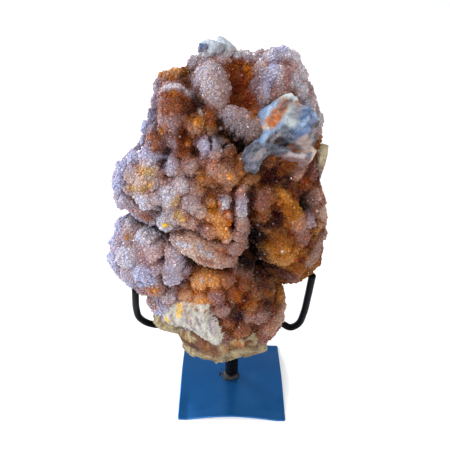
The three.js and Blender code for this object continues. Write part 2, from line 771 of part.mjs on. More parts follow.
const footprint = new THREE.Box3().setFromObject(part);
const middle = footprint.getCenter(new THREE.Vector3());
part.position.set(-middle.x, -middle.y, -footprint.min.z);
part.updateMatrixWorld(true);

export default part;
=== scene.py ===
"""Amethyst cluster resting in a welded rod cradle on a square plate.

Every surface is worked out with numpy as whole arrays. Lengths are in
millimetres about the middle of the plate, with +Z up and -Y towards the
crystal face; to_scene() carries them into the frame, in metres.
"""
from math import pi, radians

import bpy
import numpy as np
from mathutils import Matrix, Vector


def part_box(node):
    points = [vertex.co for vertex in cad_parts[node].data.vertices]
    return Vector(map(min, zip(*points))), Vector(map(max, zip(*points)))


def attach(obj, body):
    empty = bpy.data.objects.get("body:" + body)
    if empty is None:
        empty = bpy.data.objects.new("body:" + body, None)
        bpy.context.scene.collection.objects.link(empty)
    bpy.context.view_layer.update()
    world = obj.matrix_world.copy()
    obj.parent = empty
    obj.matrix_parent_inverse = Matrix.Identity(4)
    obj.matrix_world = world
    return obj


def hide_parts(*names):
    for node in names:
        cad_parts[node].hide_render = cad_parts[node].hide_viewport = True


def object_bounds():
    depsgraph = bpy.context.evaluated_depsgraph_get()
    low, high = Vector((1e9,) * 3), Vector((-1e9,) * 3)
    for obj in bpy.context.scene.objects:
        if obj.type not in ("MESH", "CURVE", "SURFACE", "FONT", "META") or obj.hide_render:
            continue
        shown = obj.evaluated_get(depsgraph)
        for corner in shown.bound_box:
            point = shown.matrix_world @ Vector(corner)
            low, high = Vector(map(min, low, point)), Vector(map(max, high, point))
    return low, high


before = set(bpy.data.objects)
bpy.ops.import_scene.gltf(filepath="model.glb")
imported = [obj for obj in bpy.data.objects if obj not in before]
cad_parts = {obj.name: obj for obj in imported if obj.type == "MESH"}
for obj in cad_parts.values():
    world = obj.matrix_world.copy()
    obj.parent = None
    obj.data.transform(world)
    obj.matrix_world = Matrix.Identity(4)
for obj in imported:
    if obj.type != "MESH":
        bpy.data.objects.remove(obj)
CAD_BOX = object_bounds()

MM = 0.001
PLATE_BOX = np.array(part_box("base_plate"))
SHIFT = np.append(PLATE_BOX[:, :2].mean(axis=0), 0.0)  # metres

# ---- the stone's form, the same values as its solid -------------------------

CENTRE = np.array([-12.0, -4.0, 200.0])
CORE = np.array([56.0, 8.0, 104.0])  # half sizes of the ellipsoid that reaches start from
EYE = np.array([-9.0, -413.0, 428.0])  # lines of sight start here
SHEET_Y = -40.0  # places are given as x and z on an upright sheet at this y

# Large forms: x, y, z of the middle, then the three half sizes.
LOBES = np.array([
    (-8, -4, 205, 80, 46, 80),  # middle of the body
    (-4, 0, 268, 56, 42, 58),  # upper body
    (-20, 4, 307, 22, 28, 31),  # crown, left
    (30, 0, 305, 23, 30, 31),  # crown, right
    (4, 4, 298, 40, 28, 33),  # saddle between the crowns
    (-47, -4, 291, 19, 28, 30),  # lump at the top left
    (-54, -4, 262, 23, 30, 24),  # neck under the lump
    (-60, -8, 230, 43, 38, 33),  # left shoulder
    (-71, -10, 163, 40, 40, 37),  # left lower lobe
    (41, 2, 268, 29, 32, 46),  # right flank
    (38, 0, 190, 42, 38, 56),  # right lobe
    (52, -6, 160, 24, 28, 25),  # right tip
    (-12, -9, 129, 55, 40, 50),  # lower body
    (-14, -32, 93, 34, 20, 31),  # front lip
    (18, -20, 107, 29, 25, 43),  # lower right
    (-50, -14, 118, 30, 26, 35),  # lower left
], float)
LOBE_BLEND = 18.0

# Broken faces at the back: outward direction, then distance from CENTRE.
BREAKS = np.array([
    (0.1, 1, 0.04, 38),  # main face
    (0.66, 0.74, 0.1, 60),  # right, behind the flank
    (-0.7, 0.7, 0.16, 70),  # left, behind the shoulder
    (0.16, 0.72, 0.66, 104),  # behind the crowns
    (-0.12, 0.84, -0.52, 78),  # down towards the rod
    (-0.36, 0.9, 0.3, 49),  # shallow face, upper left
    (0.3, 0.93, -0.3, 45),  # shallow face, lower right
    (-0.42, 0.88, -0.34, 62),  # shallow face, lower left
])
BREAK_BLEND = 3.0

# Colours of the crystal and rock, sRGB from 0 to 255.
TINTS = {
    "white": (208, 203, 214),
    "chalk": (176, 184, 194),
    "chalky": (208, 203, 192),
    "milk": (188, 196, 192),
    "sky": (132, 158, 192),
    "steel": (70, 76, 92),
    "quartz": (192, 186, 168),
    "pale": (184, 168, 172),
    "lilac": (182, 168, 182),
    "blue": (180, 182, 214),
    "azure": (58, 88, 138),
    "violet": (126, 120, 142),
    "slate": (72, 96, 130),
    "grey": (142, 130, 136),
    "mauve": (132, 92, 86),
    "plum": (44, 24, 30),
    "pink": (152, 120, 112),
    "blush": (194, 152, 136),
    "cream": (212, 184, 166),
    "beige": (166, 138, 126),
    "tan": (160, 112, 72),
    "brown": (118, 68, 44),
    "olive": (98, 62, 30),
    "honey": (196, 160, 112),
    "ochre": (146, 94, 44),
    "yellow": (232, 186, 70),
    "amber": (156, 98, 42),
    "orange": (214, 154, 104),
    "fire": (204, 108, 10),
    "flame": (160, 88, 42),
    "rust": (106, 52, 22),
    "umber": (54, 22, 10),
    "dark": (22, 8, 5),
    "rock": (184, 166, 126),
    "clay": (124, 86, 50),
}

# Hollows: x and z on the sheet, radius, depth, tint. The tint darkens the stone round each hollow: painted
# shade in the dark and plum ones, real rust stain with painted shade in the rust and umber ones.
PITS = [
    # rusty hollow between the crowns
    (-3, 328, 15, 15, "rust"), (2, 317, 15, 17, "rust"), (4, 308, 10, 14, "rust"),
    # dark hollow under the finger
    (-6, 284, 12, 26, "dark"), (5, 276, 12, 26, "dark"), (-12, 289, 8, 20, "dark"),
    (13, 282, 7, 16, "dark"),
    # dark valley on the lower right
    (20, 191, 11, 20, "dark"), (17, 172, 15, 30, "dark"), (30, 159, 14, 28, "dark"),
    (44, 157, 9, 20, "umber"),
    # inside and beside the amber ring
    (32, 212, 9, 13, "umber"), (55, 228, 8, 12, "dark"), (20, 202, 8, 12, "umber"),
    # rusty zone right of the middle
    (22, 251, 13, 12, "umber"), (34, 246, 11, 10, "umber"),
    # dark places right of the lump at the top left
    (-30, 306, 7, 12, "plum"), (-34, 301, 5, 10, "plum"),
    # purple cleft above the left shoulder
    (-55, 270, 5, 12, "plum"), (-56, 260, 5, 12, "plum"), (-55, 249, 3, 6, "plum"),
    # small dark places
    (-32, 270, 5, 8, "umber"), (-68, 204, 5, 7, "umber"), (2, 117, 6, 8, "plum"), (20, 102, 4, 6, "plum"),
    (37, 276, 5, 9, "umber"),
]

# Creases: points along each on the sheet, half width, depth.
CREASES = [
    # over and under the slanting ridge
    ([(-86, 236), (-75, 226), (-64, 217)], 3, 5),
    ([(-88, 217), (-77, 209), (-67, 201)], 4, 7),
    # olive groove
    ([(-62, 205), (-61, 188), (-61, 173)], 4, 8),
    # round the egg and the pale ridge
    ([(-55, 198), (-44, 182), (-36, 171), (-28, 165), (-17, 163), (-6, 165)], 3.5, 8),
    ([(-62, 173), (-62, 153), (-55, 143)], 2.5, 5),
    # either side of the lilac column
    ([(-2, 239), (-2, 217), (-2, 195)], 3, 6),
    ([(10, 239), (13, 218), (11, 195)], 4.5, 8),
    # left of the boulder and under it
    ([(-60, 224), (-61, 208)], 2.5, 5),
    ([(-50, 198), (-36, 202), (-25, 194), (-11, 191)], 2.5, 4),
    # between the pale knobs
    ([(-23, 290), (-20, 278), (-18, 266)], 1.5, 5),
    # right of the right crown's pale side
    ([(16, 304), (12, 315), (9, 325)], 2.5, 4),
]

# Rounded knobs of crystal: x and z on the sheet, radius, tint.
KNOBS = [
    # lump at the top left
    (-46, 310, 13, "brown"), (-49, 295, 10, "pink"), (-55, 318, 7, "violet"), (-58, 307, 6, "violet"),
    (-60, 296, 6, "violet"), (-61, 286, 6, "violet"), (-38, 304, 7, "mauve"), (-51, 325, 7, "tan"),
    (-43, 325, 7, "tan"), (-36, 321, 5, "umber"), (-39, 296, 5, "umber"),
    # left crown
    (-31, 333, 6, "grey"), (-29, 322, 7, "violet"), (-31, 314, 5, "blue"), (-19, 326, 12, "white"),
    (-17, 318, 12, "pale"), (-16, 311, 10, "beige"), (-21, 341, 8, "chalk"), (-12, 341, 6, "white"),
    (-12, 336, 6, "lilac"), (-3, 338, 5, "white"), (4, 338, 6, "white"),
    # right crown and the rim below it
    (11, 337, 6, "white"), (15, 330, 7, "pale"), (15, 320, 8, "violet"), (17, 311, 7, "pale"),
    (21, 338, 7, "white"), (29, 340, 8, "white"), (36, 337, 7, "white"), (24, 328, 7, "white"),
    (33, 324, 10, "pale"), (41, 327, 7, "white"), (41, 316, 8, "white"), (30, 315, 6, "mauve"),
    (48, 307, 8, "white"), (55, 296, 7, "white"),
    # finger and the amber knob
    (-5, 298, 7, "pale"), (-1, 297, 8, "lilac"), (3, 295, 8, "pale"), (7, 292, 8, "pale"),
    (12, 288, 8, "blush"), (-30, 292, 10, "ochre"), (-20, 299, 5, "umber"), (-20, 288, 5, "olive"),
    # pale and brown knobs under them
    (-24, 274, 6, "blue"), (-15, 277, 7, "white"), (-16, 268, 6, "pink"), (-6, 270, 6, "brown"),
    (4, 263, 6, "brown"), (-6, 261, 5, "umber"),
    # dull knobs under the agate face
    (38, 260, 7, "brown"), (46, 257, 6, "pink"), (23, 263, 6, "brown"), (55, 258, 5, "mauve"),
    # column at the left and its edge; the blue of its edge is partly painted cool light from the left
    (-61, 277, 8, "brown"), (-54, 286, 5, "brown"), (-45, 278, 7, "pink"), (-37, 276, 5, "amber"),
    (-39, 267, 6, "flame"), (-49, 267, 7, "pale"), (-65, 288, 7, "blue"), (-68, 277, 5, "blue"),
    # left shoulder; the blue of its rim is partly painted cool light from the left
    (-66, 265, 10, "blue"), (-76, 262, 8, "blue"), (-85, 255, 8, "blue"), (-89, 242, 8, "blue"),
    (-90, 229, 8, "lilac"), (-67, 253, 9, "cream"), (-78, 250, 8, "beige"), (-73, 243, 8, "cream"),
    (-63, 243, 6, "pink"), (-72, 229, 9, "white"), (-62, 230, 6, "pink"), (-81, 237, 5, "ochre"),
    # rows across the middle
    (-49, 257, 8, "lilac"), (-35, 257, 8, "beige"), (-43, 251, 5, "beige"), (-14, 254, 10, "blush"),
    (-6, 252, 10, "tan"), (-6, 242, 5, "mauve"), (2, 256, 6, "brown"), (11, 249, 8, "tan"),
    (-25, 248, 7, "ochre"), (-18, 245, 5, "umber"), (-31, 239, 8, "tan"),
    # pale boulder
    (-53, 232, 10, "white"), (-43, 241, 8, "white"), (-36, 227, 9, "pale"), (-57, 211, 10, "white"),
    (-46, 217, 10, "beige"), (-36, 211, 7, "blush"), (-28, 220, 7, "cream"),
    # orange patch
    (-16, 216, 8, "orange"), (-10, 226, 5, "white"), (-6, 214, 7, "blush"), (-12, 204, 8, "orange"),
    (-21, 202, 7, "mauve"), (-4, 198, 7, "blush"), (-19, 227, 5, "ochre"), (0, 237, 5, "flame"),
    # lilac column
    (5, 230, 7, "lilac"), (4, 220, 7, "white"), (4, 209, 7, "pink"), (3, 198, 7, "pink"),
    (0, 186, 7, "pink"), (7, 239, 5, "blush"),
    # amber ring and orange knob
    (20, 225, 7, "brown"), (23, 234, 8, "mauve"), (30, 237, 8, "ochre"), (36, 232, 8, "amber"),
    (41, 225, 8, "amber"), (46, 217, 8, "orange"), (50, 208, 8, "blush"), (52, 198, 8, "mauve"),
    (23, 217, 6, "brown"), (38, 191, 10, "amber"), (43, 179, 10, "orange"), (35, 201, 6, "umber"),
    (49, 188, 7, "tan"),
    # right edge and the knobs inside it
    (51, 246, 8, "rust"), (58, 234, 8, "pink"), (55, 252, 6, "mauve"), (56, 212, 6, "lilac"),
    (63, 207, 6, "tan"), (54, 197, 6, "mauve"), (66, 220, 7, "cream"), (68, 201, 6, "beige"),
    (64, 189, 7, "blush"), (52, 169, 7, "brown"), (61, 178, 8, "tan"), (54, 185, 6, "brown"),
    (47, 160, 5, "mauve"), (33, 256, 6, "rust"), (44, 251, 5, "blush"), (18, 252, 5, "brown"),
    # slanting ridge
    (-86, 229, 5, "pale"), (-81, 224, 5, "brown"), (-76, 220, 5, "mauve"), (-71, 215, 5, "brown"),
    (-66, 212, 4, "umber"),
    # left lower lobe; the blue of its rim is partly painted cool light from the left
    (-91, 206, 8, "blue"), (-95, 190, 9, "blue"), (-99, 172, 10, "blue"), (-86, 195, 8, "tan"),
    (-82, 207, 7, "white"), (-73, 194, 10, "white"), (-89, 175, 11, "white"), (-78, 160, 9, "blue"),
    (-68, 179, 9, "blush"), (-89, 158, 8, "lilac"), (-66, 164, 6, "pink"),
    # egg-shaped knob
    (-52, 179, 10, "lilac"), (-53, 169, 10, "lilac"), (-54, 158, 10, "lilac"),
    # pale ridge
    (-48, 194, 8, "pink"), (-41, 189, 10, "cream"), (-32, 185, 11, "cream"), (-24, 179, 11, "cream"),
    (-15, 175, 10, "blush"), (-6, 174, 7, "pink"),
    # small orange knob
    (-30, 151, 8, "orange"), (-24, 155, 8, "orange"), (-17, 152, 7, "orange"),
    # lower body
    (-41, 165, 6, "brown"), (-5, 153, 7, "brown"), (-68, 143, 8, "tan"), (-78, 143, 6, "mauve"),
    (-56, 137, 8, "pale"), (-40, 138, 8, "orange"), (-42, 149, 5, "brown"), (-71, 131, 6, "beige"),
    (-28, 134, 7, "orange"), (-15, 136, 9, "mauve"), (-10, 122, 8, "pink"), (1, 139, 8, "brown"),
    (7, 148, 6, "brown"), (14, 129, 7, "tan"), (20, 142, 8, "umber"), (28, 144, 8, "umber"),
    (38, 137, 7, "tan"), (32, 125, 7, "umber"), (8, 100, 9, "brown"), (-4, 110, 7, "rust"),
    (24, 116, 8, "pink"), (32, 103, 8, "blush"), (14, 115, 7, "pink"), (39, 113, 7, "cream"),
    (25, 90, 7, "mauve"), (41, 127, 6, "cream"),
]

# Stains and patches, each laid over the ones before it: tint, half width,
# points along it on the sheet.
TOUCHES = [
    # lump at the top left
    ("rust", 9, [(-48, 312), (-41, 306)]), ("brown", 6, [(-50, 300), (-44, 302)]),
    ("umber", 3, [(-42, 308), (-38, 306)]), ("umber", 6, [(-38, 304), (-34, 300)]),
    ("pale", 3, [(-56, 313), (-50, 317), (-42, 317), (-34, 312)]),
    ("white", 1.5, [(-52, 316), (-42, 317)]), ("tan", 4.5, [(-53, 327), (-45, 329), (-36, 326)]),
    ("orange", 2.5, [(-48, 329), (-43, 329)]), ("amber", 2.5, [(-46, 323)]),
    ("amber", 2, [(-45, 313)]), ("umber", 2, [(-39, 313)]),
    ("umber", 4.5, [(-38, 323), (-35, 319)]),
    # crowns and the hollow between them
    ("azure", 2.5, [(-25, 343), (-23, 343)]), ("white", 4, [(-12, 343), (-3, 341)]),
    ("amber", 2.5, [(4, 331), (7, 325)]), ("brown", 4, [(-8, 332), (-3, 330)]),
    ("rust", 6, [(-5, 324), (-1, 321)]), ("rust", 5, [(5, 311), (0, 309)]),
    ("amber", 2.5, [(33, 336)]), ("blush", 3.5, [(17, 333)]),
    ("mauve", 3.5, [(31, 333), (33, 322), (36, 313)]),
    ("blue", 4.5, [(23, 335), (20, 323), (18, 314)]),
    ("white", 4.5, [(-14, 342), (-3, 341), (6, 340), (13, 337)]),
    ("blue", 4, [(24, 342), (30, 341)]), ("white", 5.5, [(34, 339), (40, 332), (43, 325)]),
    # finger and amber knob
    ("rust", 5, [(-20, 300), (-20, 291)]), ("ochre", 3.5, [(9, 296)]), ("amber", 5, [(-29, 292)]),
    ("orange", 2.5, [(-31, 290)]), ("cream", 2.5, [(-27, 299)]),
    # left column
    ("brown", 6, [(-61, 279), (-59, 272)]), ("brown", 4.5, [(-54, 286)]),
    ("amber", 3.5, [(-37, 277)]), ("rust", 5, [(-41, 285), (-40, 268)]),
    ("ochre", 2.5, [(-55, 284)]),
    # left shoulder
    ("honey", 5, [(-70, 254), (-64, 253)]), ("honey", 3.5, [(-78, 239)]),
    ("honey", 4, [(-72, 238), (-66, 241)]),
    # foot of the boulder, left lower lobe
    ("yellow", 1.5, [(-56, 207), (-53, 207)]), ("tan", 3.5, [(-86, 195)]),
    # rows across the middle and the orange patch
    ("ochre", 4.5, [(-26, 250)]), ("rust", 5, [(-18, 245)]), ("orange", 3.5, [(-5, 249)]),
    ("amber", 5, [(-18, 220), (-15, 225)]), ("flame", 4, [(-7, 218), (-5, 208)]),
    ("blush", 3.5, [(-5, 216)]), ("orange", 4.5, [(-13, 211), (-9, 199)]),
    # pale ridge
    ("orange", 1.5, [(-24, 185)]), ("white", 3, [(-45, 190), (-37, 188)]),
    ("pale", 3, [(-30, 188), (-22, 181)]), ("mauve", 2.5, [(-30, 177), (-20, 172)]),
    ("white", 2.5, [(-20, 178)]),
    # boulder
    ("honey", 4.5, [(-46, 218), (-42, 213)]), ("honey", 3, [(-48, 226), (-44, 232)]),
    # head of the lilac column, slanting ridge, lower left, two knobs on the right
    ("blush", 4.5, [(7, 240)]), ("brown", 3, [(-66, 212), (-71, 215)]),
    ("flame", 4.5, [(-68, 143)]), ("blush", 5, [(44, 251)]), ("umber", 5, [(32, 125)]),
    # pale rim on the right: painted highlight along the right edge
    ("white", 6, [(42, 322), (48, 313), (54, 303), (59, 288)]),
    ("blush", 4.5, [(63, 250), (64, 236), (68, 222)]), ("cream", 3.5, [(68, 226), (70, 210)]),
    ("beige", 3.5, [(67, 192), (60, 172)]),
    # amber ring, and a knob under the pale ones
    ("orange", 4, [(34, 236), (38, 230)]), ("umber", 4.5, [(-6, 261)]),
    # right lobe
    ("amber", 5, [(38, 224), (44, 217)]), ("orange", 5, [(42, 184), (45, 178)]),
    ("rust", 5, [(51, 246)]), ("flame", 2, [(49, 248)]), ("tan", 3, [(66, 204)]),
    ("umber", 3.5, [(27, 215), (34, 210)]),
    # small orange knob and the lower body
    ("orange", 5, [(-29, 150), (-24, 157), (-17, 151)]), ("pale", 2.5, [(-27, 155)]),
    ("blush", 2.5, [(-20, 155)]), ("orange", 2.5, [(-67, 144)]), ("yellow", 2.5, [(-46, 123)]),
    ("rust", 7, [(3, 139), (12, 130)]), ("flame", 2.5, [(2, 141), (6, 134)]),
    ("umber", 1.5, [(5, 140), (9, 132)]), ("brown", 4.5, [(27, 142)]),
    ("plum", 4.5, [(0, 119), (5, 114)]), ("plum", 3.5, [(20, 102)]),
    ("orange", 3.5, [(-28, 132), (-24, 133)]),
]

# Faces bare of crystal: height over the body, width of the slope at the rim, outline on the sheet.
FACES = {
    "agate_face": (4.0, 4, [
        (6, 255), (4, 265), (8, 272), (15, 278), (18, 285), (15, 293), (17, 302), (22, 306),
        (29, 311), (33, 312), (37, 308), (41, 302), (47, 300), (51, 296), (53, 291), (54, 281),
        (53, 272), (52, 264), (48, 258), (46, 261), (38, 264), (31, 268), (24, 269), (17, 263),
        (13, 254),
    ]),
    "quartz_face": (1.8, 8, [
        (-63, 114), (-57, 122), (-47, 128), (-37, 130), (-27, 132), (-21, 126), (-21, 117),
        (-18, 108), (-11, 100), (-9, 90), (-13, 80), (-20, 83), (-27, 89), (-35, 97), (-44, 103),
        (-54, 104), (-61, 108),
    ]),
}

# Bare rock of the lip: everything under this line on the sheet.
LIP_LINE = np.array([
    (-90, 75), (-75, 115), (-68, 111), (-61, 106), (-51, 102), (-41, 98), (-33, 92), (-24, 84), (-14, 77),
    (-6, 78), (3, 85), (11, 89), (19, 90), (25, 86), (33, 81), (43, 62),
])

KNOB_SHOWS = 0.52  # a knob's centre lies (1 - this) of its radius under the surface
KNOB_BLEND = 7.0

PIT_RIM = 1.25  # radii from a pit's middle to its rim
PIT_FLOOR = 0.35  # radii from its middle to the foot of its slope
PIT_BLEND = 4.0
CREASE_SCALE = 0.8  # distances from a crease count as this much, which widens it
BALL_SPAN = 2.2  # a ball changes rays that end within this many radii, and the blend, of its centre

SIGHT_STEPS = np.arange(-40.0, 110.0)  # millimetres along a line of sight, counted from the sheet
FARTHEST = 400.0  # greatest reach from the core
HALVINGS = 40  # of that reach, to find where a point lies
GRAZING = 0.05  # a break nearer to edge-on than this does not cut a ray
UNCUT = 1000.0  # reach of a ray that a break does not cut

WAVE_COUNT = 7
WAVE_RATES = (0.7, 1.4)  # waves to each size, least and most
WAVE_GAIN = 1.6

# The rod's route, from the left tip under the stone to the right tip.
ROD_AT_POST = np.array([0.0, 2.0, 76.5])
ROD_ROUTE = np.array([
    (-86.5, -19, 130), (-88, -14, 115), (-89.5, -7, 98), (-88, -3, 84),
    (-80, 0, 74.5), (-66, 1, 71.5), (-35, 2, 74.5), ROD_AT_POST, (28, 2, 76.5),
    (46, 1, 76), (55, 0, 72), (62, -1, 77), (65.5, -6, 95), (66.5, -12, 118),
    (67, -20, 148),
])
ROD_RADIUS = 3.2
ROD_CLEARANCE = 0.5
ROD_POINTS = 240


# ---- meshes and shared arithmetic -------------------------------------------

def to_scene(points):
    """Millimetres about the plate's middle, as metres in the frame."""
    return np.asarray(points) * MM + SHIFT


def placed(name, data):
    """An object of the scene that holds a mesh, a lamp or a lens."""
    made = bpy.data.objects.new(name, data)
    bpy.context.scene.collection.objects.link(made)
    return made


def new_piece(name, points, faces, material, replaced=(), smooth=True, tint=None):
    """A mesh object from an array of points and one array of equal-sided faces.

    tint holds a linear colour for each point.
    """
    faces = np.asarray(faces, np.int32)
    count, sides = faces.shape
    mesh = bpy.data.meshes.new(name)
    mesh.vertices.add(len(points))
    mesh.vertices.foreach_set("co", to_scene(points).astype(np.float32).ravel())
    mesh.loops.add(count * sides)
    mesh.loops.foreach_set("vertex_index", faces.ravel())
    mesh.polygons.add(count)
    mesh.polygons.foreach_set("loop_start", np.arange(0, count * sides, sides, dtype=np.int32))
    mesh.polygons.foreach_set("loop_total", np.full(count, sides, np.int32))
    mesh.polygons.foreach_set("use_smooth", np.full(count, smooth))
    if tint is not None:
        layer = mesh.attributes.new("tint", "FLOAT_COLOR", "POINT")
        layer.data.foreach_set("color", np.c_[tint, np.ones(len(tint))].astype(np.float32).ravel())
    mesh.update(calc_edges=True)
    mesh.validate()
    mesh.materials.append(material)
    piece = placed(name, mesh)
    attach(piece, "root")
    for solid in replaced:
        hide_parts(solid)


def unit(vectors):
    """Vectors brought to length 1."""
    return vectors / np.maximum(np.linalg.norm(vectors, axis=-1, keepdims=True), 1e-9)


def linear(srgb):
    """sRGB from 0 to 255 as linear light from 0 to 1."""
    c = np.asarray(srgb, float) / 255.0
    return np.where(c <= 0.04045, c / 12.92, ((c + 0.055) / 1.055) ** 2.4)


def waves(points, size, seed):
    """Even unevenness, nearly all of it from -1 to 1: a sum of sine waves in seeded directions.

    value = gain * mean over the waves of sin(2 pi direction . point / size + phase).
    """
    draw = np.random.default_rng(seed)
    directions = unit(draw.normal(size=(WAVE_COUNT, 3))) * draw.uniform(*WAVE_RATES, (WAVE_COUNT, 1))
    phases = draw.uniform(0, 2 * pi, WAVE_COUNT)
    return np.sin(points @ directions.T * (2 * pi / size) + phases).mean(axis=-1) * WAVE_GAIN


def ramp(value, start, end):
    """0 up to start, 1 from end on and straight between; end may be the smaller."""
    return np.clip((value - start) / (end - start), 0, 1)


def eased(part):
    """A share from 0 to 1 with both its ends made gentle."""
    return part * part * (3 - 2 * part)


def grid_quads(index):
    """Quads between neighbours of a grid of point numbers."""
    return np.stack([index[:-1, :-1], index[1:, :-1], index[1:, 1:], index[:-1, 1:]], axis=-1).reshape(-1, 4)


def segment_distance(points, start, end):
    """Distance of points from a straight line between two ends, which may be one place."""
    line = end - start
    along = np.clip((points - start) @ line / max(line @ line, 1e-9), 0, 1)
    return np.linalg.norm(points - start - along[:, None] * line, axis=1)


def route_distance(points, route):
    """Distance of points from a chain of straight lines, or from a single place."""
    route = np.asarray(route, float)
    ends = zip(route, route) if len(route) == 1 else zip(route[:-1], route[1:])
    return np.min([segment_distance(points, start, end) for start, end in ends], axis=0)


# ---- the stone's surface ----------------------------------------------------

def smooth_max(a, b, k):
    """Larger of two values, with a rounded corner of width k where they meet."""
    h = np.maximum(k - np.abs(a - b), 0) / k
    return np.maximum(a, b) + h * h * k / 4


def exit_reach(origin, direction, centre, half_sizes):
    """How far rays run before they leave an ellipsoid.

    It is the larger root of |(origin + t direction - centre) / sizes| = 1, and
    past the rim, where there is no root, a value that falls away steadily.
    """
    start = (origin - centre) / half_sizes
    along = direction / half_sizes
    a = np.sum(along * along, axis=-1)
    b = np.sum(start * along, axis=-1)
    inside = b * b - a * (np.sum(start * start, axis=-1) - 1)
    return (-b + np.sign(inside) * np.sqrt(np.abs(inside))) / a


def core_foot(direction):
    """Where a ray starts: the core's surface point with that direction."""
    return CENTRE + CORE * direction


def point_at(direction, reach):
    """The point a given reach out from the core."""
    return core_foot(direction) + direction * reach[..., None]


def core_coordinates(points):
    """Direction and reach of points, found by halving.

    A point of reach r lies on the ellipsoid whose half sizes are the core's and r more.
    """
    offset = points - CENTRE
    low = np.full(offset.shape[:-1], 1 - CORE.min())
    high = np.full(offset.shape[:-1], FARTHEST)
    for _ in range(HALVINGS):
        middle = (low + high) / 2
        outside = np.sum((offset / (CORE + middle[..., None])) ** 2, axis=-1) > 1
        low = np.where(outside, middle, low)
        high = np.where(outside, high, middle)
    return offset / (CORE + high[..., None]), high


def lobes_reach(direction):
    """All the lobes, blended."""
    origin = core_foot(direction)
    reach = exit_reach(origin, direction, LOBES[0, :3], LOBES[0, 3:])
    for lobe in LOBES[1:]:
        reach = smooth_max(reach, exit_reach(origin, direction, lobe[:3], lobe[3:]), LOBE_BLEND)
    return reach


def body_reach(direction):
    """The lobes less what broke away at the back."""
    origin = core_foot(direction)
    reach = lobes_reach(direction)
    for *outward, distance in BREAKS:
        outward = unit(np.array(outward))
        towards = direction @ outward
        face = (distance - (origin - CENTRE) @ outward) / np.maximum(towards, GRAZING)
        face = np.where(towards > GRAZING, face, UNCUT)
        reach = -smooth_max(-reach, -face, BREAK_BLEND)
    return reach


def seen(sheet_x, sheet_z, reach_of):
    """Where lines of sight through places on the sheet meet the stone.

    Each line is followed in steps of 1 mm; one that passes the stone by gets
    the stone's point nearest to it.
    """
    sheet = np.stack([sheet_x, np.full_like(sheet_x, SHEET_Y), sheet_z], axis=-1)
    sight = unit(sheet - EYE)
    nearest = np.full(sheet_x.shape, np.inf)
    direction = np.zeros_like(sheet)
    met = np.zeros(sheet_x.shape, bool)
    for step in SIGHT_STEPS:
        here, reach = core_coordinates(sheet + sight * step)
        gap = reach - reach_of(here)
        better = (gap < nearest) & ~met
        nearest = np.where(better, gap, nearest)
        direction[better] = here[better]
        met |= gap < 0
    return direction, point_at(direction, reach_of(direction))


def pit_shape(distance):
    """1 over the middle of a pit, 0 past its rim, with an eased slope between."""
    return eased(ramp(distance, PIT_RIM, PIT_FLOOR))


def on_sheet(points):
    """x and z where the lines of sight to points cross the sheet."""
    share = (SHEET_Y - EYE[1]) / (points[:, 1] - EYE[1])
    return (EYE + (points - EYE) * share[:, None])[:, [0, 2]]


PIT_SIZES = np.array([pit[:4] for pit in PITS], float)
PIT_PLACES = seen(PIT_SIZES[:, 0], PIT_SIZES[:, 1], body_reach)[1]


def pitted_reach(direction):
    """The body with its pits."""
    reach = body_reach(direction)
    points = point_at(direction, reach)
    depth = np.zeros_like(reach)
    for place, (_, _, radius, deep) in zip(PIT_PLACES, PIT_SIZES):
        distance = np.linalg.norm(points - place, axis=-1) / radius
        depth = smooth_max(depth, deep * pit_shape(distance), PIT_BLEND)
    return reach - depth


KNOB_SIZES = np.array([knob[:3] for knob in KNOBS], float)
KNOB_AIMS, KNOB_TOPS = seen(KNOB_SIZES[:, 0], KNOB_SIZES[:, 1], pitted_reach)
KNOB_RADII = KNOB_SIZES[:, 2]
KNOB_CENTRES = KNOB_TOPS - KNOB_AIMS * ((1 - KNOB_SHOWS) * KNOB_RADII)[:, None]

CREASE_PLACES = [seen(*np.array(line, float).T, pitted_reach)[1] for line, _, _ in CREASES]


def raise_balls(direction, reach, centres, radii, blend):
    """Balls grown on a surface: only rays that pass near one are touched."""
    origin = core_foot(direction)
    reach = reach.copy()
    for centre, radius in zip(centres, radii):
        away = np.linalg.norm(origin + direction * reach[:, None] - centre, axis=1)
        near = away < BALL_SPAN * radius + blend
        ball = exit_reach(origin[near], direction[near], centre, np.full(3, radius))
        reach[near] = smooth_max(reach[near], ball, blend)
    return reach


def stone_reach(direction, coat):
    """The whole stone: pitted body, knobs, then creases; all of it under a coat of crystal."""
    reach = pitted_reach(direction) - coat
    reach = raise_balls(direction, reach, KNOB_CENTRES, KNOB_RADII - coat, KNOB_BLEND)
    points = point_at(direction, reach)
    depth = np.zeros_like(reach)
    for places, (_, half_width, deep) in zip(CREASE_PLACES, CREASES):
        distance = CREASE_SCALE * route_distance(points, places) / half_width
        depth = np.maximum(depth, deep * pit_shape(distance))
    return reach - depth


def direction_lattice(cells, crowding):
    """Directions over a box's surface lattice, crowded to the front, and quads.

    A lattice place from -1 to 1 on each side becomes tan(place pi / 4), which
    evens the spacing once it is brought to the unit sphere.
    """
    quads = []
    for axis in range(3):
        u, v = (axis + 1) % 3, (axis + 2) % 3
        iu, iv = np.meshgrid(np.arange(cells[u]), np.arange(cells[v]), indexing="ij")
        for side in (0, 1):
            corners = np.zeros(iu.shape + (4, 3), int)
            steps = ((0, 0), (1, 0), (1, 1), (0, 1))
            for corner, (du, dv) in enumerate(steps if side else steps[::-1]):
                corners[..., corner, axis] = side * cells[axis]
                corners[..., corner, u] = iu + du
                corners[..., corner, v] = iv + dv
            quads.append(corners.reshape(-1, 4, 3))
    quads = np.concatenate(quads)
    width = np.array(cells) + 1
    keys = (quads[..., 0] * width[1] + quads[..., 1]) * width[2] + quads[..., 2]
    found, index = np.unique(keys, return_inverse=True)
    layer, row, column = found // (width[1] * width[2]), found // width[2] % width[1], found % width[2]
    places = np.stack([layer, row, column], axis=-1)
    directions = unit(np.tan((places / np.array(cells) * 2 - 1) * pi / 4))
    directions[:, 1] -= crowding
    return unit(directions), index.reshape(-1, 4)


# ---- the rod's line ---------------------------------------------------------

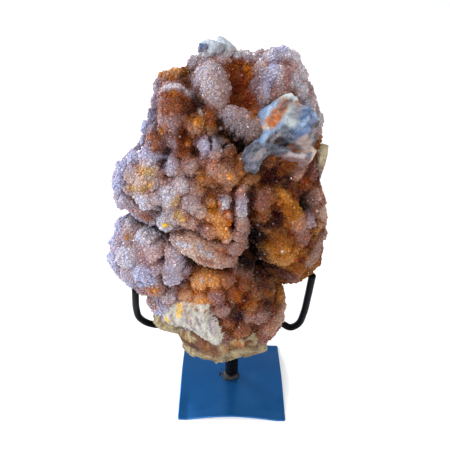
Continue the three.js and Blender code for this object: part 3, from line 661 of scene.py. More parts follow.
def smooth_route(stations, count):
    """Points along a centripetal Catmull-Rom curve through the stations.

    Knots are spaced by the root of the distance between stations, and a point
    comes from a pyramid of straight blends between its span's four stations.
    """
    before = 2 * stations[0] - stations[1]
    after = 2 * stations[-1] - stations[-2]
    control = np.vstack([before, stations, after])
    knots = np.append(0, np.cumsum(np.sqrt(np.linalg.norm(np.diff(control, axis=0), axis=1))))
    at = np.linspace(knots[1], knots[-2], count)
    span = np.clip(np.searchsorted(knots, at, side="right") - 1, 1, len(stations) - 1)
    points = [control[span + k] for k in (-1, 0, 1, 2)]
    times = [knots[span + k] for k in (-1, 0, 1, 2)]

    def blend(a, b, start, end):
        part = ((at - start) / (end - start))[:, None]
        return a * (1 - part) + b * part

    first = [blend(points[k], points[k + 1], times[k], times[k + 1]) for k in range(3)]
    second = [blend(first[k], first[k + 1], times[k], times[k + 2]) for k in range(2)]
    return blend(second[0], second[1], times[1], times[2])


ROD_LINE = smooth_route(ROD_ROUTE, ROD_POINTS)


def short_of_rod(direction, reach):
    """The reach of rays that meet the rod, cut where they enter its clearance.

    The clearance is a chain of balls along the rod's line; a ray enters one at
    the smaller root of |origin + t direction - centre| = radius.
    """
    radius = ROD_RADIUS + ROD_CLEARANCE
    origin = core_foot(direction)
    reach = reach.copy()
    for centre in ROD_LINE[::2]:
        start = origin - centre
        along = np.sum(start * direction, axis=1)
        inside = along * along - np.sum(start * start, axis=1) + radius * radius
        entry = -along - np.sqrt(np.maximum(inside, 0))
        cut = (inside > 0) & (entry > 0) & (entry < reach)
        reach[cut] = entry[cut]
    return reach


# ---- materials --------------------------------------------------------------

QUARTZ_IOR = 1.544
SPECK_SCALE = 900.0  # specks of wear in the paint, to each metre


def feed(tree, made, inputs):
    """Inputs of a node given their values, each a plain value or another node's socket.

    i and a number names an input by its place; any other name has _ for each space.
    """
    for name, value in inputs.items():
        socket = made.inputs[int(name[1:])] if name[1:].isdigit() else made.inputs[name.replace("_", " ")]
        if isinstance(value, bpy.types.NodeSocket):
            tree.links.new(value, socket)
        else:
            socket.default_value = value


def node(tree, kind, settings=None, **inputs):
    """A shader node with its settings and inputs."""
    made = tree.nodes.new("ShaderNode" + kind)
    for name, value in (settings or {}).items():
        setattr(made, name, value)
    feed(tree, made, inputs)
    return made


def mixed(tree, factor, a, b, blend_type="MIX"):
    """Two colours mixed by a factor."""
    made = node(tree, "Mix", {"data_type": "RGBA", "blend_type": blend_type}, i0=factor, i6=a, i7=b)
    return made.outputs[2]


def spread(tree, value, low, high, to_low=0.0, to_high=1.0):
    """A value's range from low to high brought to another range, eased at both ends."""
    made = node(tree, "MapRange", {"interpolation_type": "SMOOTHSTEP"},
                Value=value, From_Min=low, From_Max=high, To_Min=to_low, To_Max=to_high)
    return made.outputs[0]


def colour(srgb):
    """sRGB from 0 to 255 as a socket's linear colour."""
    return (*linear(srgb), 1.0)


def new_group(name, inputs, outputs):
    """An empty shader node group: (name, socket kind) inputs and outputs."""
    tree = bpy.data.node_groups.new(name, "ShaderNodeTree")
    for label, kind in inputs:
        tree.interface.new_socket(label, in_out="INPUT", socket_type="NodeSocket" + kind)
    for label, kind in outputs:
        tree.interface.new_socket(label, in_out="OUTPUT", socket_type="NodeSocket" + kind)
    return tree, tree.nodes.new("NodeGroupInput").outputs, tree.nodes.new("NodeGroupOutput").inputs


def mineral_group():
    """Stain, grain and pitting that the crystal, agate and rock all share.

    Stain is a slow noise that carries the second colour over the first, Grain
    a fine noise that lightens and darkens it; Height and Roughness follow.
    """
    tree, given, result = new_group(
        "mineral variation",
        [("Color", "Color"), ("Stain Color", "Color"), ("Position", "Vector"),
         ("Stain Scale", "Float"), ("Stain", "Float"), ("Grain Scale", "Float"), ("Grain", "Float")],
        [("Color", "Color"), ("Height", "Float"), ("Roughness", "Float")],
    )
    slow = node(tree, "TexNoise", Vector=given["Position"], Scale=given["Stain Scale"],
                Detail=4.0, Roughness=0.6)
    fine = node(tree, "TexNoise", Vector=given["Position"], Scale=given["Grain Scale"],
                Detail=3.0, Roughness=0.7)
    patch = spread(tree, slow.outputs[0], 0.48, 0.66)
    amount = node(tree, "Math", {"operation": "MULTIPLY"}, i0=patch, i1=given["Stain"])
    stained = mixed(tree, amount.outputs[0], given["Color"], given["Stain Color"])
    light = node(tree, "MapRange", Value=fine.outputs[0],
                 From_Min=0.3, From_Max=0.7, To_Min=0.55, To_Max=1.35).outputs[0]
    grey = node(tree, "CombineColor", Red=light, Green=light, Blue=light)
    grained = mixed(tree, given["Grain"], stained, mixed(tree, 1.0, stained, grey.outputs[0], "MULTIPLY"))
    tree.links.new(grained, result["Color"])
    tree.links.new(fine.outputs[0], result["Height"])
    tree.links.new(spread(tree, slow.outputs[0], 0.3, 0.7, 0.0, 1.0), result["Roughness"])
    return tree


def paint_group():
    """Dust, scuffs and unevenness that the plate's paint, the rod's paint and the welds share."""
    tree, given, result = new_group(
        "painted iron",
        [("Color", "Color"), ("Worn Color", "Color"), ("Position", "Vector"),
         ("Scale", "Float"), ("Wear", "Float"), ("Smooth", "Float"), ("Rough", "Float")],
        [("Color", "Color"), ("Height", "Float"), ("Roughness", "Float")],
    )
    peel = node(tree, "TexNoise", Vector=given["Position"], Scale=given["Scale"], Detail=5.0, Roughness=0.65)
    specks = node(tree, "TexNoise", Vector=given["Position"], Scale=SPECK_SCALE, Detail=2.0)
    scuff = spread(tree, specks.outputs[0], 0.62, 0.72)
    patch = spread(tree, peel.outputs[0], 0.5, 0.7)
    both = node(tree, "Math", {"operation": "MAXIMUM"}, i0=scuff, i1=patch)
    amount = node(tree, "Math", {"operation": "MULTIPLY"}, i0=both.outputs[0], i1=given["Wear"])
    tree.links.new(mixed(tree, amount.outputs[0], given["Color"], given["Worn Color"]), result["Color"])
    tree.links.new(peel.outputs[0], result["Height"])
    rough = node(tree, "MapRange", Value=peel.outputs[0], From_Min=0.3, From_Max=0.7,
                 To_Min=given["Smooth"], To_Max=given["Rough"])
    tree.links.new(rough.outputs[0], result["Roughness"])
    return tree


MINERAL = mineral_group()
PAINT = paint_group()


def new_material(name):
    """An empty node material: its tree, its shader and its Object position."""
    material = bpy.data.materials.new(name)
    material.use_nodes = True
    tree = material.node_tree
    shader = tree.nodes["Principled BSDF"]
    position = node(tree, "TexCoord").outputs["Object"]
    return material, tree, shader, position


def piece_tint(tree):
    """The colour stored on the points of the piece."""
    return node(tree, "Attribute", {"attribute_name": "tint"}).outputs["Color"]


def use_group(tree, group, **inputs):
    """A shared group placed in a material."""
    return node(tree, "Group", {"node_tree": group}, **inputs).outputs


def finish_surface(tree, shader, base, roughness, height=None, bump=0.0, bump_depth=0.0, **others):
    """Colour, roughness and bump linked to the shader, and its other inputs set."""
    if height is not None:
        relief = node(tree, "Bump", Strength=bump, Distance=bump_depth, Height=height)
        others["Normal"] = relief.outputs[0]
    feed(tree, shader, {"Base_Color": base, "Roughness": roughness, **others})


def amethyst_druse():
    """Clear, faintly coloured quartz points over the stone's own tint; dark ones shine less."""
    material, tree, shader, position = new_material("amethyst druse")
    tint = piece_tint(tree)
    grown = use_group(tree, MINERAL, Color=tint, Stain_Color=colour((196, 120, 62)), Position=position,
                      Stain_Scale=90.0, Stain=0.25, Grain_Scale=1400.0, Grain=0.2)
    brightness = node(tree, "RGBToBW", Color=tint).outputs[0]
    tree.links.new(spread(tree, brightness, 0.02, 0.4, 0.02, 0.3), shader.inputs["Specular IOR Level"])
    finish_surface(tree, shader, grown["Color"], spread(tree, grown["Roughness"], 0.0, 1.0, 0.1, 0.3),
                   Transmission_Weight=0.2, IOR=QUARTZ_IOR, Subsurface_Weight=0.7, Subsurface_Scale=0.0022,
                   Subsurface_Radius=(1.0, 0.8, 0.65))
    return material


def crystal_bed():
    """The mass that the points grow from: grainy quartz, bare rock where broken."""
    material, tree, shader, position = new_material("crystal bed")
    tint = piece_tint(tree)
    grown = use_group(tree, MINERAL, Color=tint, Stain_Color=colour((120, 62, 34)), Position=position,
                      Stain_Scale=70.0, Stain=0.45, Grain_Scale=700.0, Grain=0.8)
    cells = node(tree, "TexVoronoi", {"feature": "F1"}, Vector=position, Scale=520.0)
    height = node(tree, "Math", {"operation": "ADD"}, i0=grown["Height"], i1=cells.outputs["Distance"])
    finish_surface(tree, shader, grown["Color"], spread(tree, grown["Roughness"], 0.0, 1.0, 0.35, 0.7),
                   height.outputs[0], 0.8, 0.0008)
    return material


def chalcedony():
    """Agate, faintly banded across its height."""
    material, tree, shader, position = new_material("chalcedony")
    tint = piece_tint(tree)
    bands = node(tree, "TexWave", {"bands_direction": "Z"}, Vector=position, Scale=60.0,
                 Distortion=6.0, Detail=3.0, Detail_Scale=1.5)
    share = spread(tree, bands.outputs["Fac"], 0.2, 0.8, 0.0, 0.15)
    banded = mixed(tree, share, tint, colour((186, 198, 208)))
    grown = use_group(tree, MINERAL, Color=banded, Stain_Color=colour((82, 84, 96)), Position=position,
                      Stain_Scale=110.0, Stain=0.4, Grain_Scale=900.0, Grain=0.4)
    finish_surface(tree, shader, grown["Color"], spread(tree, grown["Roughness"], 0.0, 1.0, 0.18, 0.42),
                   grown["Height"], 0.5, 0.0006, Transmission_Weight=0.12, IOR=1.54)
    return material


def matrix_rock():
    """Dull, gritty iron-stained rock."""
    material, tree, shader, position = new_material("matrix rock")
    tint = piece_tint(tree)
    grown = use_group(tree, MINERAL, Color=tint, Stain_Color=colour((92, 56, 30)), Position=position,
                      Stain_Scale=130.0, Stain=0.7, Grain_Scale=650.0, Grain=1.0)
    finish_surface(tree, shader, grown["Color"], spread(tree, grown["Roughness"], 0.0, 1.0, 0.55, 0.9),
                   grown["Height"], 0.9, 0.001)
    return material


def painted(name, paint, worn, uneven, bump, bump_depth, **others):
    """Painted iron: the paint's colour, its colour where worn, and values for the paint's group."""
    material, tree, shader, position = new_material(name)
    coat = use_group(tree, PAINT, Color=colour(paint), Worn_Color=colour(worn), Position=position, **uneven)
    finish_surface(tree, shader, coat["Color"], coat["Roughness"], coat["Height"], bump, bump_depth, **others)
    return material


def plate_paint_and_sky_reflection():
    """Deep blue colour that stands for the blue sky reflected in black gloss paint, a painted reflection;
    with a gloss coat, dusty and slightly uneven.
    """
    uneven = {"Scale": 45.0, "Wear": 0.12, "Smooth": 0.26, "Rough": 0.4}
    return painted("plate paint and painted sky reflection", (24, 96, 160), (70, 120, 170), uneven, 0.12, 0.0004,
                   Metallic=0.75, Coat_Weight=0.25, Coat_Roughness=0.15)


def black_paint():
    """Satin black paint on round bar."""
    uneven = {"Scale": 120.0, "Wear": 0.3, "Smooth": 0.3, "Rough": 0.5}
    return painted("black paint", (5, 5, 6), (20, 20, 21), uneven, 0.25, 0.0004, Specular_IOR_Level=0.06)


def weld_metal():
    """Painted-over weld: dark, lumpy, with bare grey where it is knocked."""
    uneven = {"Scale": 260.0, "Wear": 0.5, "Smooth": 0.3, "Rough": 0.6}
    return painted("weld metal", (24, 23, 26), (72, 66, 68), uneven, 0.6, 0.0008, Metallic=0.4)


# ---- stone: ground surface and its colours ----------------------------------

BED_CELLS = (132, 70, 195)
BED_CROWDING = 0.25
CRYSTAL_COAT = 1.1  # the bed lies this far under the tips' envelope
TINT_LIMITS = (0.002, 0.95)  # least and most of a colour, in linear light
SIDE_TINTS = ("blue", "pink", "brown")  # ground colour at the left, middle and right; the pale blue at the left is partly painted cool light from the left
SIDE_EDGES = (-70, 40)  # x where the left's colour is full and where the right's is
GROUND_WEIGHT = 0.3  # of the ground's colour beside that of a knob
CREST_ROUNDS = 70  # of smoothing, for the average that crests stand over
CREST_HEIGHT = 2.0  # from a crease to level ground, and from there to a crest
CREASE_POWER = 1.2  # light that bounces in a crease takes its colour this much deeper
# painted shade: creases take this darker, warmer tone
CREASE_TONE = np.array([0.6, 0.42, 0.38])
PALE_CREASE = 0.35  # creases between the palest knobs are this much lighter
CREASE_RUST = 0.55  # share of rust where creases are stained
CREST_HIGHLIGHT = 0.13  # share of painted highlight on the crests
PALE_HUE = 0.75
SOFT_LEFT = 0.3  # creases at the far left keep this much of the crests' colour
# Painted shade: the stone's colour sinks where its surface lies below its surroundings, but not on the
# crowns' tops.
SHADE_ROUNDS = 300  # of smoothing, for the surroundings that shade is measured from
SHADE_DEPTH = 11.0  # by this far below its surroundings the stone's colour has sunk to SHADE_LEAST
SHADE_LEAST = 0.16
UNSHADED = (328, 340)  # z where the crowns' tops come out of that shade
HOLLOW_SPREAD = 1.3  # a hollow darkens the stone this much further than its rim
HOLLOW_STRENGTH = 1.5
HOLLOW_KNOB = 0.6  # share of a hollow's colour that a knob's crest keeps off
CROWN = (305, 330)  # z where the crowns begin and where they are full
WARM_LEFT, WARM_SIDE = 1.3, 0.12  # stronger colour in warm tints, and more of it to the right
RIGHT_SHADE, RIGHT_SHADE_CROWN = 0.08, 0.8  # painted shade, darker to the right, and how much of that the crowns escape
MOTTLE = np.array([0.07, -0.01, -0.09])  # change of red, green and blue where it is strongest
LEAST_COLOUR = 0.05  # share of itself that red, green or blue keeps at least
FRONT = (0.45, 0.25)  # y of directions where the front begins and where it is full
BEHIND = (0.5, 0.6)  # y of directions where bare rock begins and where it is full
BENEATH = (0.86, 0.92)  # the same for the underside, and minus z
BROKEN = (0.5, 2.5)  # depth broken off the lobes, from none to bare rock
LAYERS = np.array([0.45, 0.2, 0.87])  # across the layers of the rock
TOUCH_WAVER = 0.35  # unevenness of a touch's width
TOUCH_SHARE = 0.9  # of its tint over what lies under it
KNOB_FADE = 0.4  # radii over which a knob's colour fades outside it


def vertex_normals(points, quads):
    """Points' unit normals, from the cross products of the quads' diagonals, and the quads' areas."""
    corners = points[quads]
    across = np.cross(corners[:, 2] - corners[:, 0], corners[:, 3] - corners[:, 1])
    total = [np.bincount(quads.ravel(), np.repeat(across[:, k], 4), len(points)) for k in range(3)]
    return unit(np.stack(total, axis=1)), np.linalg.norm(across, axis=1) / 2


def smoothed(values, quads, rounds):
    """Values averaged over neighbours: each quad's mean, then each point's mean of its quads."""
    count = np.bincount(quads.ravel(), minlength=len(values))
    for _ in range(rounds):
        values = np.bincount(quads.ravel(), np.repeat(values[quads].mean(axis=1), 4), len(values)) / count
    return values


def knob_weights(points):
    """How much each knob colours each point: 1 within its radius, fading outside."""
    weights = np.empty((len(points), len(KNOBS)), np.float32)
    for k, (centre, radius) in enumerate(zip(KNOB_CENTRES, KNOB_RADII)):
        past = np.maximum(np.linalg.norm(points - centre, axis=1) / radius - 1, 0) / KNOB_FADE
        weights[:, k] = np.exp(-past * past)
    return weights


def share_of(weight, tint, colours):
    """Colours moved towards a tint by a weight for each point."""
    return colours + (tint - colours) * weight[:, None]


def paler(tint):
    """A pale colour with part of a tint's hue: painted highlight on the crests, and the paler tips of
    crystals.
    """
    return linear(TINTS["white"]) * (tint / tint.max(axis=-1, keepdims=True)) ** PALE_HUE


def plain(name, points):
    """One tint for all the points."""
    return np.tile(linear(TINTS[name]), (len(points), 1))


def touched(points, colours, front, touches=TOUCHES):
    """Colours with the stains and patches laid over them, each along its line on the sheet."""
    places = on_sheet(points)
    uneven = 1 + TOUCH_WAVER * waves(points, 7, 21)
    for tint, half_width, line in touches:
        away = route_distance(places, line)
        weight = pit_shape(away * uneven / half_width) * front * TOUCH_SHARE
        colours = share_of(weight, linear(TINTS[tint]), colours)
    return colours


def inside_outline(places, outline):
    """How far places lie inside a closed outline on the sheet; negative outside it.

    A place is inside if a level line from it crosses the outline an odd number
    of times.
    """
    away = np.full(len(places), np.inf)
    odd = np.zeros(len(places), bool)
    x, z = places.T
    for start, end in zip(outline, np.roll(outline, -1, axis=0)):
        away = np.minimum(away, segment_distance(places, start, end))
        passes = (start[1] > z) != (end[1] > z)
        run, rise = end - start
        odd ^= passes & (x < start[0] + (z - start[1]) * (run / rise if rise else 0))
    return np.where(odd, away, -away)


def under_lip(places):
    """How far places lie below the upper edge of the lip's bare rock."""
    return np.interp(places[:, 0], LIP_LINE[:, 0], LIP_LINE[:, 1]) - places[:, 1]


def face_cover(places):
    """How much the bare faces' outlines cover places on the sheet."""
    shares = [ramp(inside_outline(places, np.array(outline, float)) * 2.5 / slope, 0.1, 1.1)
              for _, slope, outline in FACES.values()]
    return np.max(shares, axis=0)


def crystal_ground(points, side, front, weights):
    """The knobs' own tints over the ground's, with the stains and patches laid on."""
    left, middle, right = linear([TINTS[name] for name in SIDE_TINTS])
    ground = share_of(np.minimum(side, 1), middle, left)
    ground = share_of(np.maximum(side - 1, 0), right, ground)
    knob_tints = linear([TINTS[knob[3]] for knob in KNOBS])
    tint = (ground * GROUND_WEIGHT + weights @ knob_tints) / (GROUND_WEIGHT + weights.sum(axis=1))[:, None]
    return touched(points, tint, front)


def creased(points, tint, rock, crest):
    """Painted highlight on the crests, and painted shade in the creases: deeper colour there, with real rust
    stain in part.
    """
    paleness = np.clip(3 * tint.min(axis=1), 0, 1)
    deep = tint ** CREASE_POWER * CREASE_TONE * (1 + PALE_CREASE * paleness)[:, None]
    stain = np.clip(waves(points, 24, 5) * 1.3, 0, 1)
    deep = share_of(CREASE_RUST * stain, linear(TINTS["rust"]), deep)
    deep = share_of(rock, tint * 0.6, deep)
    highlighted = share_of(CREST_HIGHLIGHT * crest * (1 - rock), paler(tint), tint)
    return deep + (highlighted - deep) * crest[:, None]


def hollowed(points, body_points, tint, front, kept):
    """The hollows' colours laid over a tint, painted shade with real rust stain in the rusty ones; also how
    much hollow there is at each point.
    """
    weights = np.stack([
        pit_shape(np.linalg.norm(body_points - place, axis=1) / (HOLLOW_SPREAD * pit[2]))
        for place, pit in zip(PIT_PLACES, PITS)
    ], axis=1)
    hollow = np.minimum(HOLLOW_STRENGTH * weights.max(axis=1), 1) * front
    total = np.maximum(weights.sum(axis=1), 1e-6)[:, None]
    dark = weights @ linear([TINTS[pit[4]] for pit in PITS]) / total
    return share_of(hollow * (1 - HOLLOW_KNOB * kept), touched(points, dark, front), tint), hollow


def enlivened(points, tint, side, rock):
    """Mottled colour, stronger where it is warm, and painted shade that darkens it to the right below the
    crowns.
    """
    crown = ramp(points[:, 2], *CROWN)
    vivid = WARM_LEFT + WARM_SIDE * side
    bright = 1.0 - RIGHT_SHADE * side * side * (1 - RIGHT_SHADE_CROWN * crown)
    warm = np.clip((tint[:, 0] - tint[:, 2]) / tint.max(axis=1), 0, 1)
    mottle = waves(points, 10, 12)[:, None] * (1 - rock)[:, None]
    tint = tint * (1 + mottle * MOTTLE)
    grey = tint.mean(axis=1, keepdims=True)
    stronger = grey + (tint - grey) * (1 + (vivid - 1) * warm)[:, None]
    return np.maximum(stronger, LEAST_COLOUR * tint) * bright[:, None]


def shale_tint(points):
    """Iron-stained rock."""
    iron = np.clip(0.35 + 0.9 * waves(points, 38, 10) + 0.4 * waves(points, 11, 11), 0, 1)
    shale = share_of(iron, linear(TINTS["clay"]), plain("rock", points))
    return shale * (0.75 + 0.25 * waves(points, 14, 8))[:, None]


def stone_bed():
    """The stone's surface under the crystals, with what the crystals need to know.

    point = foot(direction) + direction * reach over the direction lattice, where
    reach is the stone's, cut short of the rod, under the coat of crystal. Crests are
    where the reach stands over its own average, creases where it lies under it.
    """
    direction, quads = direction_lattice(BED_CELLS, BED_CROWDING)
    body = body_reach(direction)
    reach = stone_reach(direction, CRYSTAL_COAT)
    points = point_at(direction, reach)
    body_points = point_at(direction, body)
    side = ramp(points[:, 0], *SIDE_EDGES) * 2
    front = ramp(direction[:, 1], *FRONT)
    crest = eased(ramp(reach - smoothed(reach, quads, CREST_ROUNDS), -CREST_HEIGHT, CREST_HEIGHT))
    crest += (1 - crest) * SOFT_LEFT * ramp(side, 1.2, 0.2)

    rock = np.max([
        ramp(lobes_reach(direction) - body, *BROKEN),
        ramp(-direction[:, 2], *BENEATH),
        ramp(direction[:, 1] + 0.12 * waves(points, 25, 9), *BEHIND),
        ramp(under_lip(on_sheet(points)), 0, 2),
    ], axis=0)
    weights = knob_weights(points)
    tint = creased(points, crystal_ground(points, side, front, weights), rock, crest)
    # painted shade in the stone's recesses
    shade = np.clip(1 + (reach - smoothed(reach, quads, SHADE_ROUNDS)) / SHADE_DEPTH, SHADE_LEAST, 1)
    tint *= np.maximum(shade, ramp(points[:, 2], *UNSHADED))[:, None]
    on_knob = np.minimum(weights.sum(axis=1), 1) * crest
    tint, hollow = hollowed(points, body_points, tint, front, on_knob)
    tint = share_of(rock, shale_tint(points), enlivened(points, tint, side, rock))

    chipped = (1.2 * np.abs(waves(points, 17, 31)) + 0.7 * np.abs(waves(points, 6, 32))
               + 0.8 * np.abs(np.sin(points @ LAYERS * 0.55 + 2 * waves(points, 20, 34))))
    uneven = 1.1 * waves(points, 12, 35) + 0.7 * waves(points, 6, 33) - 0.7
    bed = short_of_rod(direction, reach + CRYSTAL_COAT * rock - chipped * rock + uneven * (1 - rock))
    bed_points = point_at(direction, bed)
    normals, areas = vertex_normals(bed_points, quads)
    return {
        "points": bed_points, "quads": quads, "normals": normals, "areas": areas,
        "tint": np.clip(tint, *TINT_LIMITS), "hollow": hollow,
        "bare": np.maximum(rock, face_cover(on_sheet(body_points)) * front),
    }


# ---- crystals ---------------------------------------------------------------

GLINTS = 0.985  # crystals drawn above this get white tips: painted glints
GLINT_SHARE = 0.6
PALE_SHARE, PALE_POWER = 0.16, 2.5  # greatest paleness of the others, most being far from it
PALE_TIP = 0.75
SHOULDER = 0.6  # a shoulder's place between the root's colour and the tip's
SIZE_POWER = 1.8  # of the draws for sizes: small ones are the commoner
ROOT_DEPTH = 0.4  # radii that a root reaches down
PRISM_HEIGHTS = (1.0, 1.6)  # radii
POINT_HEIGHTS = (0.45, 0.85)
ROD_GAP = 1.0  # a point's foot stays this and twice its band's largest radius away from the rod
BOX_MARGIN = 0.1  # crystals stay this far inside the solids' bounding box
KEY_SPAN = 1000  # cubes numbered along each axis, half of them before its zero


def scattered(bed, values, wanted, cell, draw):
    """Places spread over the bed by area, one at most in each cube of side cell.

    A place lies in its quad at (1-a)(1-b) P0 + a(1-b) P1 + ab P2 + (1-a)b P3
    for even draws a and b, and values are blended in the same way.
    """
    chance = bed["areas"] * (1 - bed["bare"][bed["quads"]].mean(axis=1)) ** 2
    picked = draw.choice(len(chance), wanted, p=chance / chance.sum())
    a, b = draw.random((2, wanted))
    shares = np.stack([(1 - a) * (1 - b), a * (1 - b), a * b, (1 - a) * b], axis=1)
    blended = np.einsum("nk,nkv->nv", shares, values[bed["quads"][picked]])
    cells = np.floor(blended[:, :3] / cell).astype(np.int64) + KEY_SPAN // 2
    keys = (cells[:, 0] * KEY_SPAN + cells[:, 1]) * KEY_SPAN + cells[:, 2]
    return blended[np.sort(np.unique(keys, return_index=True)[1])]


def pointed_prisms(feet, axes, radii, heights, prism, draw):
    """Quartz points as rings of corners, closed by a tip and a flat root.

    Corner k of a ring stands at foot + level * axis + radius * (cos, sin) of
    k / sides of a turn, from a drawn direction across the axis. A prism has six
    sides, a root ring and a shoulder ring, whose level goes up and down from
    corner to corner, as the point's faces are unequal: 13 points, 22 triangles.
    A plain point is the three main faces of a quartz tip over its root: 4 points,
    4 triangles.
    """
    count = len(feet)
    sides = 6 if prism else 3
    helper = unit(draw.normal(size=(count, 3)))
    across = unit(np.cross(axes, helper))
    beside = np.cross(axes, across)
    angles = np.arange(sides) * 2 * pi / sides
    ring = across[:, None] * np.cos(angles)[:, None] + beside[:, None] * np.sin(angles)[:, None]
    size = radii[:, None, None]
    uneven = 1 + 0.25 * (draw.random((count, sides, 1)) - 0.5)
    rings = [feet[:, None] - axes[:, None] * size * ROOT_DEPTH + ring * size * uneven]
    if prism:
        steps = 0.42 + 0.14 * np.array([1, -1, 1, -1, 1, -1]) + 0.1 * draw.random((count, sides))
        levels = heights[:, None] * steps
        rings.append(feet[:, None] + axes[:, None] * levels[..., None] + ring * size)
    lean = (draw.random((count, 2)) - 0.5) * 0.5
    tip = feet + axes * heights[:, None] + (across * lean[:, :1] + beside * lean[:, 1:]) * radii[:, None]
    points = np.concatenate([*rings, tip[:, None]], axis=1)
    k = np.arange(sides)
    after = (k + 1) % sides
    top = sides * (len(rings) - 1)
    fan = np.arange(1, sides - 1)
    faces = [np.stack([k + top, after + top, np.full(sides, top + sides)], axis=1),
             np.stack([0 * fan, fan + 1, fan], axis=1)]
    if prism:
        faces += [np.stack([k, after, after + sides], axis=1),
                  np.stack([k, after + sides, k + sides], axis=1)]
    return points, np.concatenate(faces)


def crystal_tints(tint, hollow, corners, prism, draw):
    """Colours of the corners of crystals: their bed's tint, darker at the root as painted shade between the
    crystals, paler to the tip, a few with white tips as painted glints.
    """
    shade = draw.uniform(0.96, 1.04, (len(tint), 1, 1))
    chance = draw.random((len(tint), 1, 1))
    glints = chance > GLINTS
    ordinary = chance ** PALE_POWER * PALE_SHARE * (1 - 0.6 * hollow)[:, None, None]
    pale = np.where(glints, GLINT_SHARE, ordinary)
    rings = 2 if prism else 1
    levels = np.repeat(np.linspace(0, SHOULDER, rings), (corners - 1) // rings)
    level = np.append(levels, 1.0)[None, :, None]
    # darker at the root: painted shade between the crystals
    colours = tint[:, None] * shade * (0.9 + 0.16 * level)
    # painted glints: white tips on the crystals drawn above GLINTS
    tip = np.where(glints, linear(TINTS["white"]), paler(tint)[:, None])
    return colours + (tip - colours) * (pale * level * PALE_TIP)


def crystal_band(bed, wanted, cell, smallest, largest, tilt, prism, seed):
    """One band of crystal sizes grown over the bed: corners, faces and tints."""
    draw = np.random.default_rng(seed)
    values = np.column_stack([bed["points"], bed["normals"], bed["tint"], bed["hollow"]])
    grown = scattered(bed, values, wanted, cell, draw)
    keep = np.ones(len(grown), bool)
    for centre in ROD_LINE[::4]:
        keep &= np.linalg.norm(grown[:, :3] - centre, axis=1) > ROD_RADIUS + largest * 2 + ROD_GAP
    grown = grown[keep]
    feet, normals, tint, hollow = grown[:, :3], unit(grown[:, 3:6]), grown[:, 6:9], grown[:, 9]
    axes = unit(normals + draw.normal(size=feet.shape) * tilt)
    radii = smallest + (largest - smallest) * draw.random(len(feet)) ** SIZE_POWER
    heights = radii * draw.uniform(*(PRISM_HEIGHTS if prism else POINT_HEIGHTS), len(feet))
    points, faces = pointed_prisms(feet, axes, radii, heights, prism, draw)
    low, high = (np.array(CAD_BOX) - SHIFT) / MM
    inside = np.all((points > low + BOX_MARGIN) & (points < high - BOX_MARGIN), axis=(1, 2))
    points = points[inside]
    count, corners = points.shape[:2]
    colours = crystal_tints(tint[inside], hollow[inside], corners, prism, draw)
    order = np.arange(count)[:, None, None] * corners + faces[None]
    return points.reshape(-1, 3), order.reshape(-1, 3), np.clip(colours, 0, 0.95).reshape(-1, 3)


def crystals(bed):
    """All the points of the druse, as pieces of one size band each."""
    bands = (
        # name, places drawn, cell, smallest and largest radius, tilt, whether prisms, seed
        ("crystals_large", 2500, 6.5, 1.3, 2.0, 0.3, True, 11),
        ("crystals_medium", 40000, 3.0, 0.8, 1.2, 0.24, True, 12),
        ("crystals_fine_1", 70000, 1.25, 0.75, 1.15, 0.2, False, 13),
        ("crystals_fine_2", 70000, 1.25, 0.75, 1.15, 0.2, False, 14),
        ("crystals_fine_3", 70000, 1.25, 0.7, 1.05, 0.2, False, 15),
        ("crystals_fine_4", 70000, 1.25, 0.7, 1.05, 0.2, False, 16),
    )
    for name, wanted, cell, smallest, largest, tilt, prism, seed in bands:
        points, faces, tints = crystal_band(bed, wanted, cell, smallest, largest, tilt, prism, seed)
        new_piece(name, points, faces, druse_material, smooth=False, tint=tints)


# ---- bare faces and broken pieces in the stone ------------------------------

SIGHT_SPACING = 4.0
FACE_SPACING = 0.55
FACE_SINK = 5.0  # the rim of a face runs this far under the body
FACE_START = -2.0  # a face begins to rise here, counted inwards from its outline
FACE_EDGE = -2.2  # and its surface is cut off here
SUGAR_RADII = (0.45, 0.95)
SUGAR_CELL = 1.0
SUGAR_TILT = 0.25
FACE_SUGAR, CHIP_SUGAR = 14000, 5000  # places drawn for fine points
TINT_FLOOR = 0.004

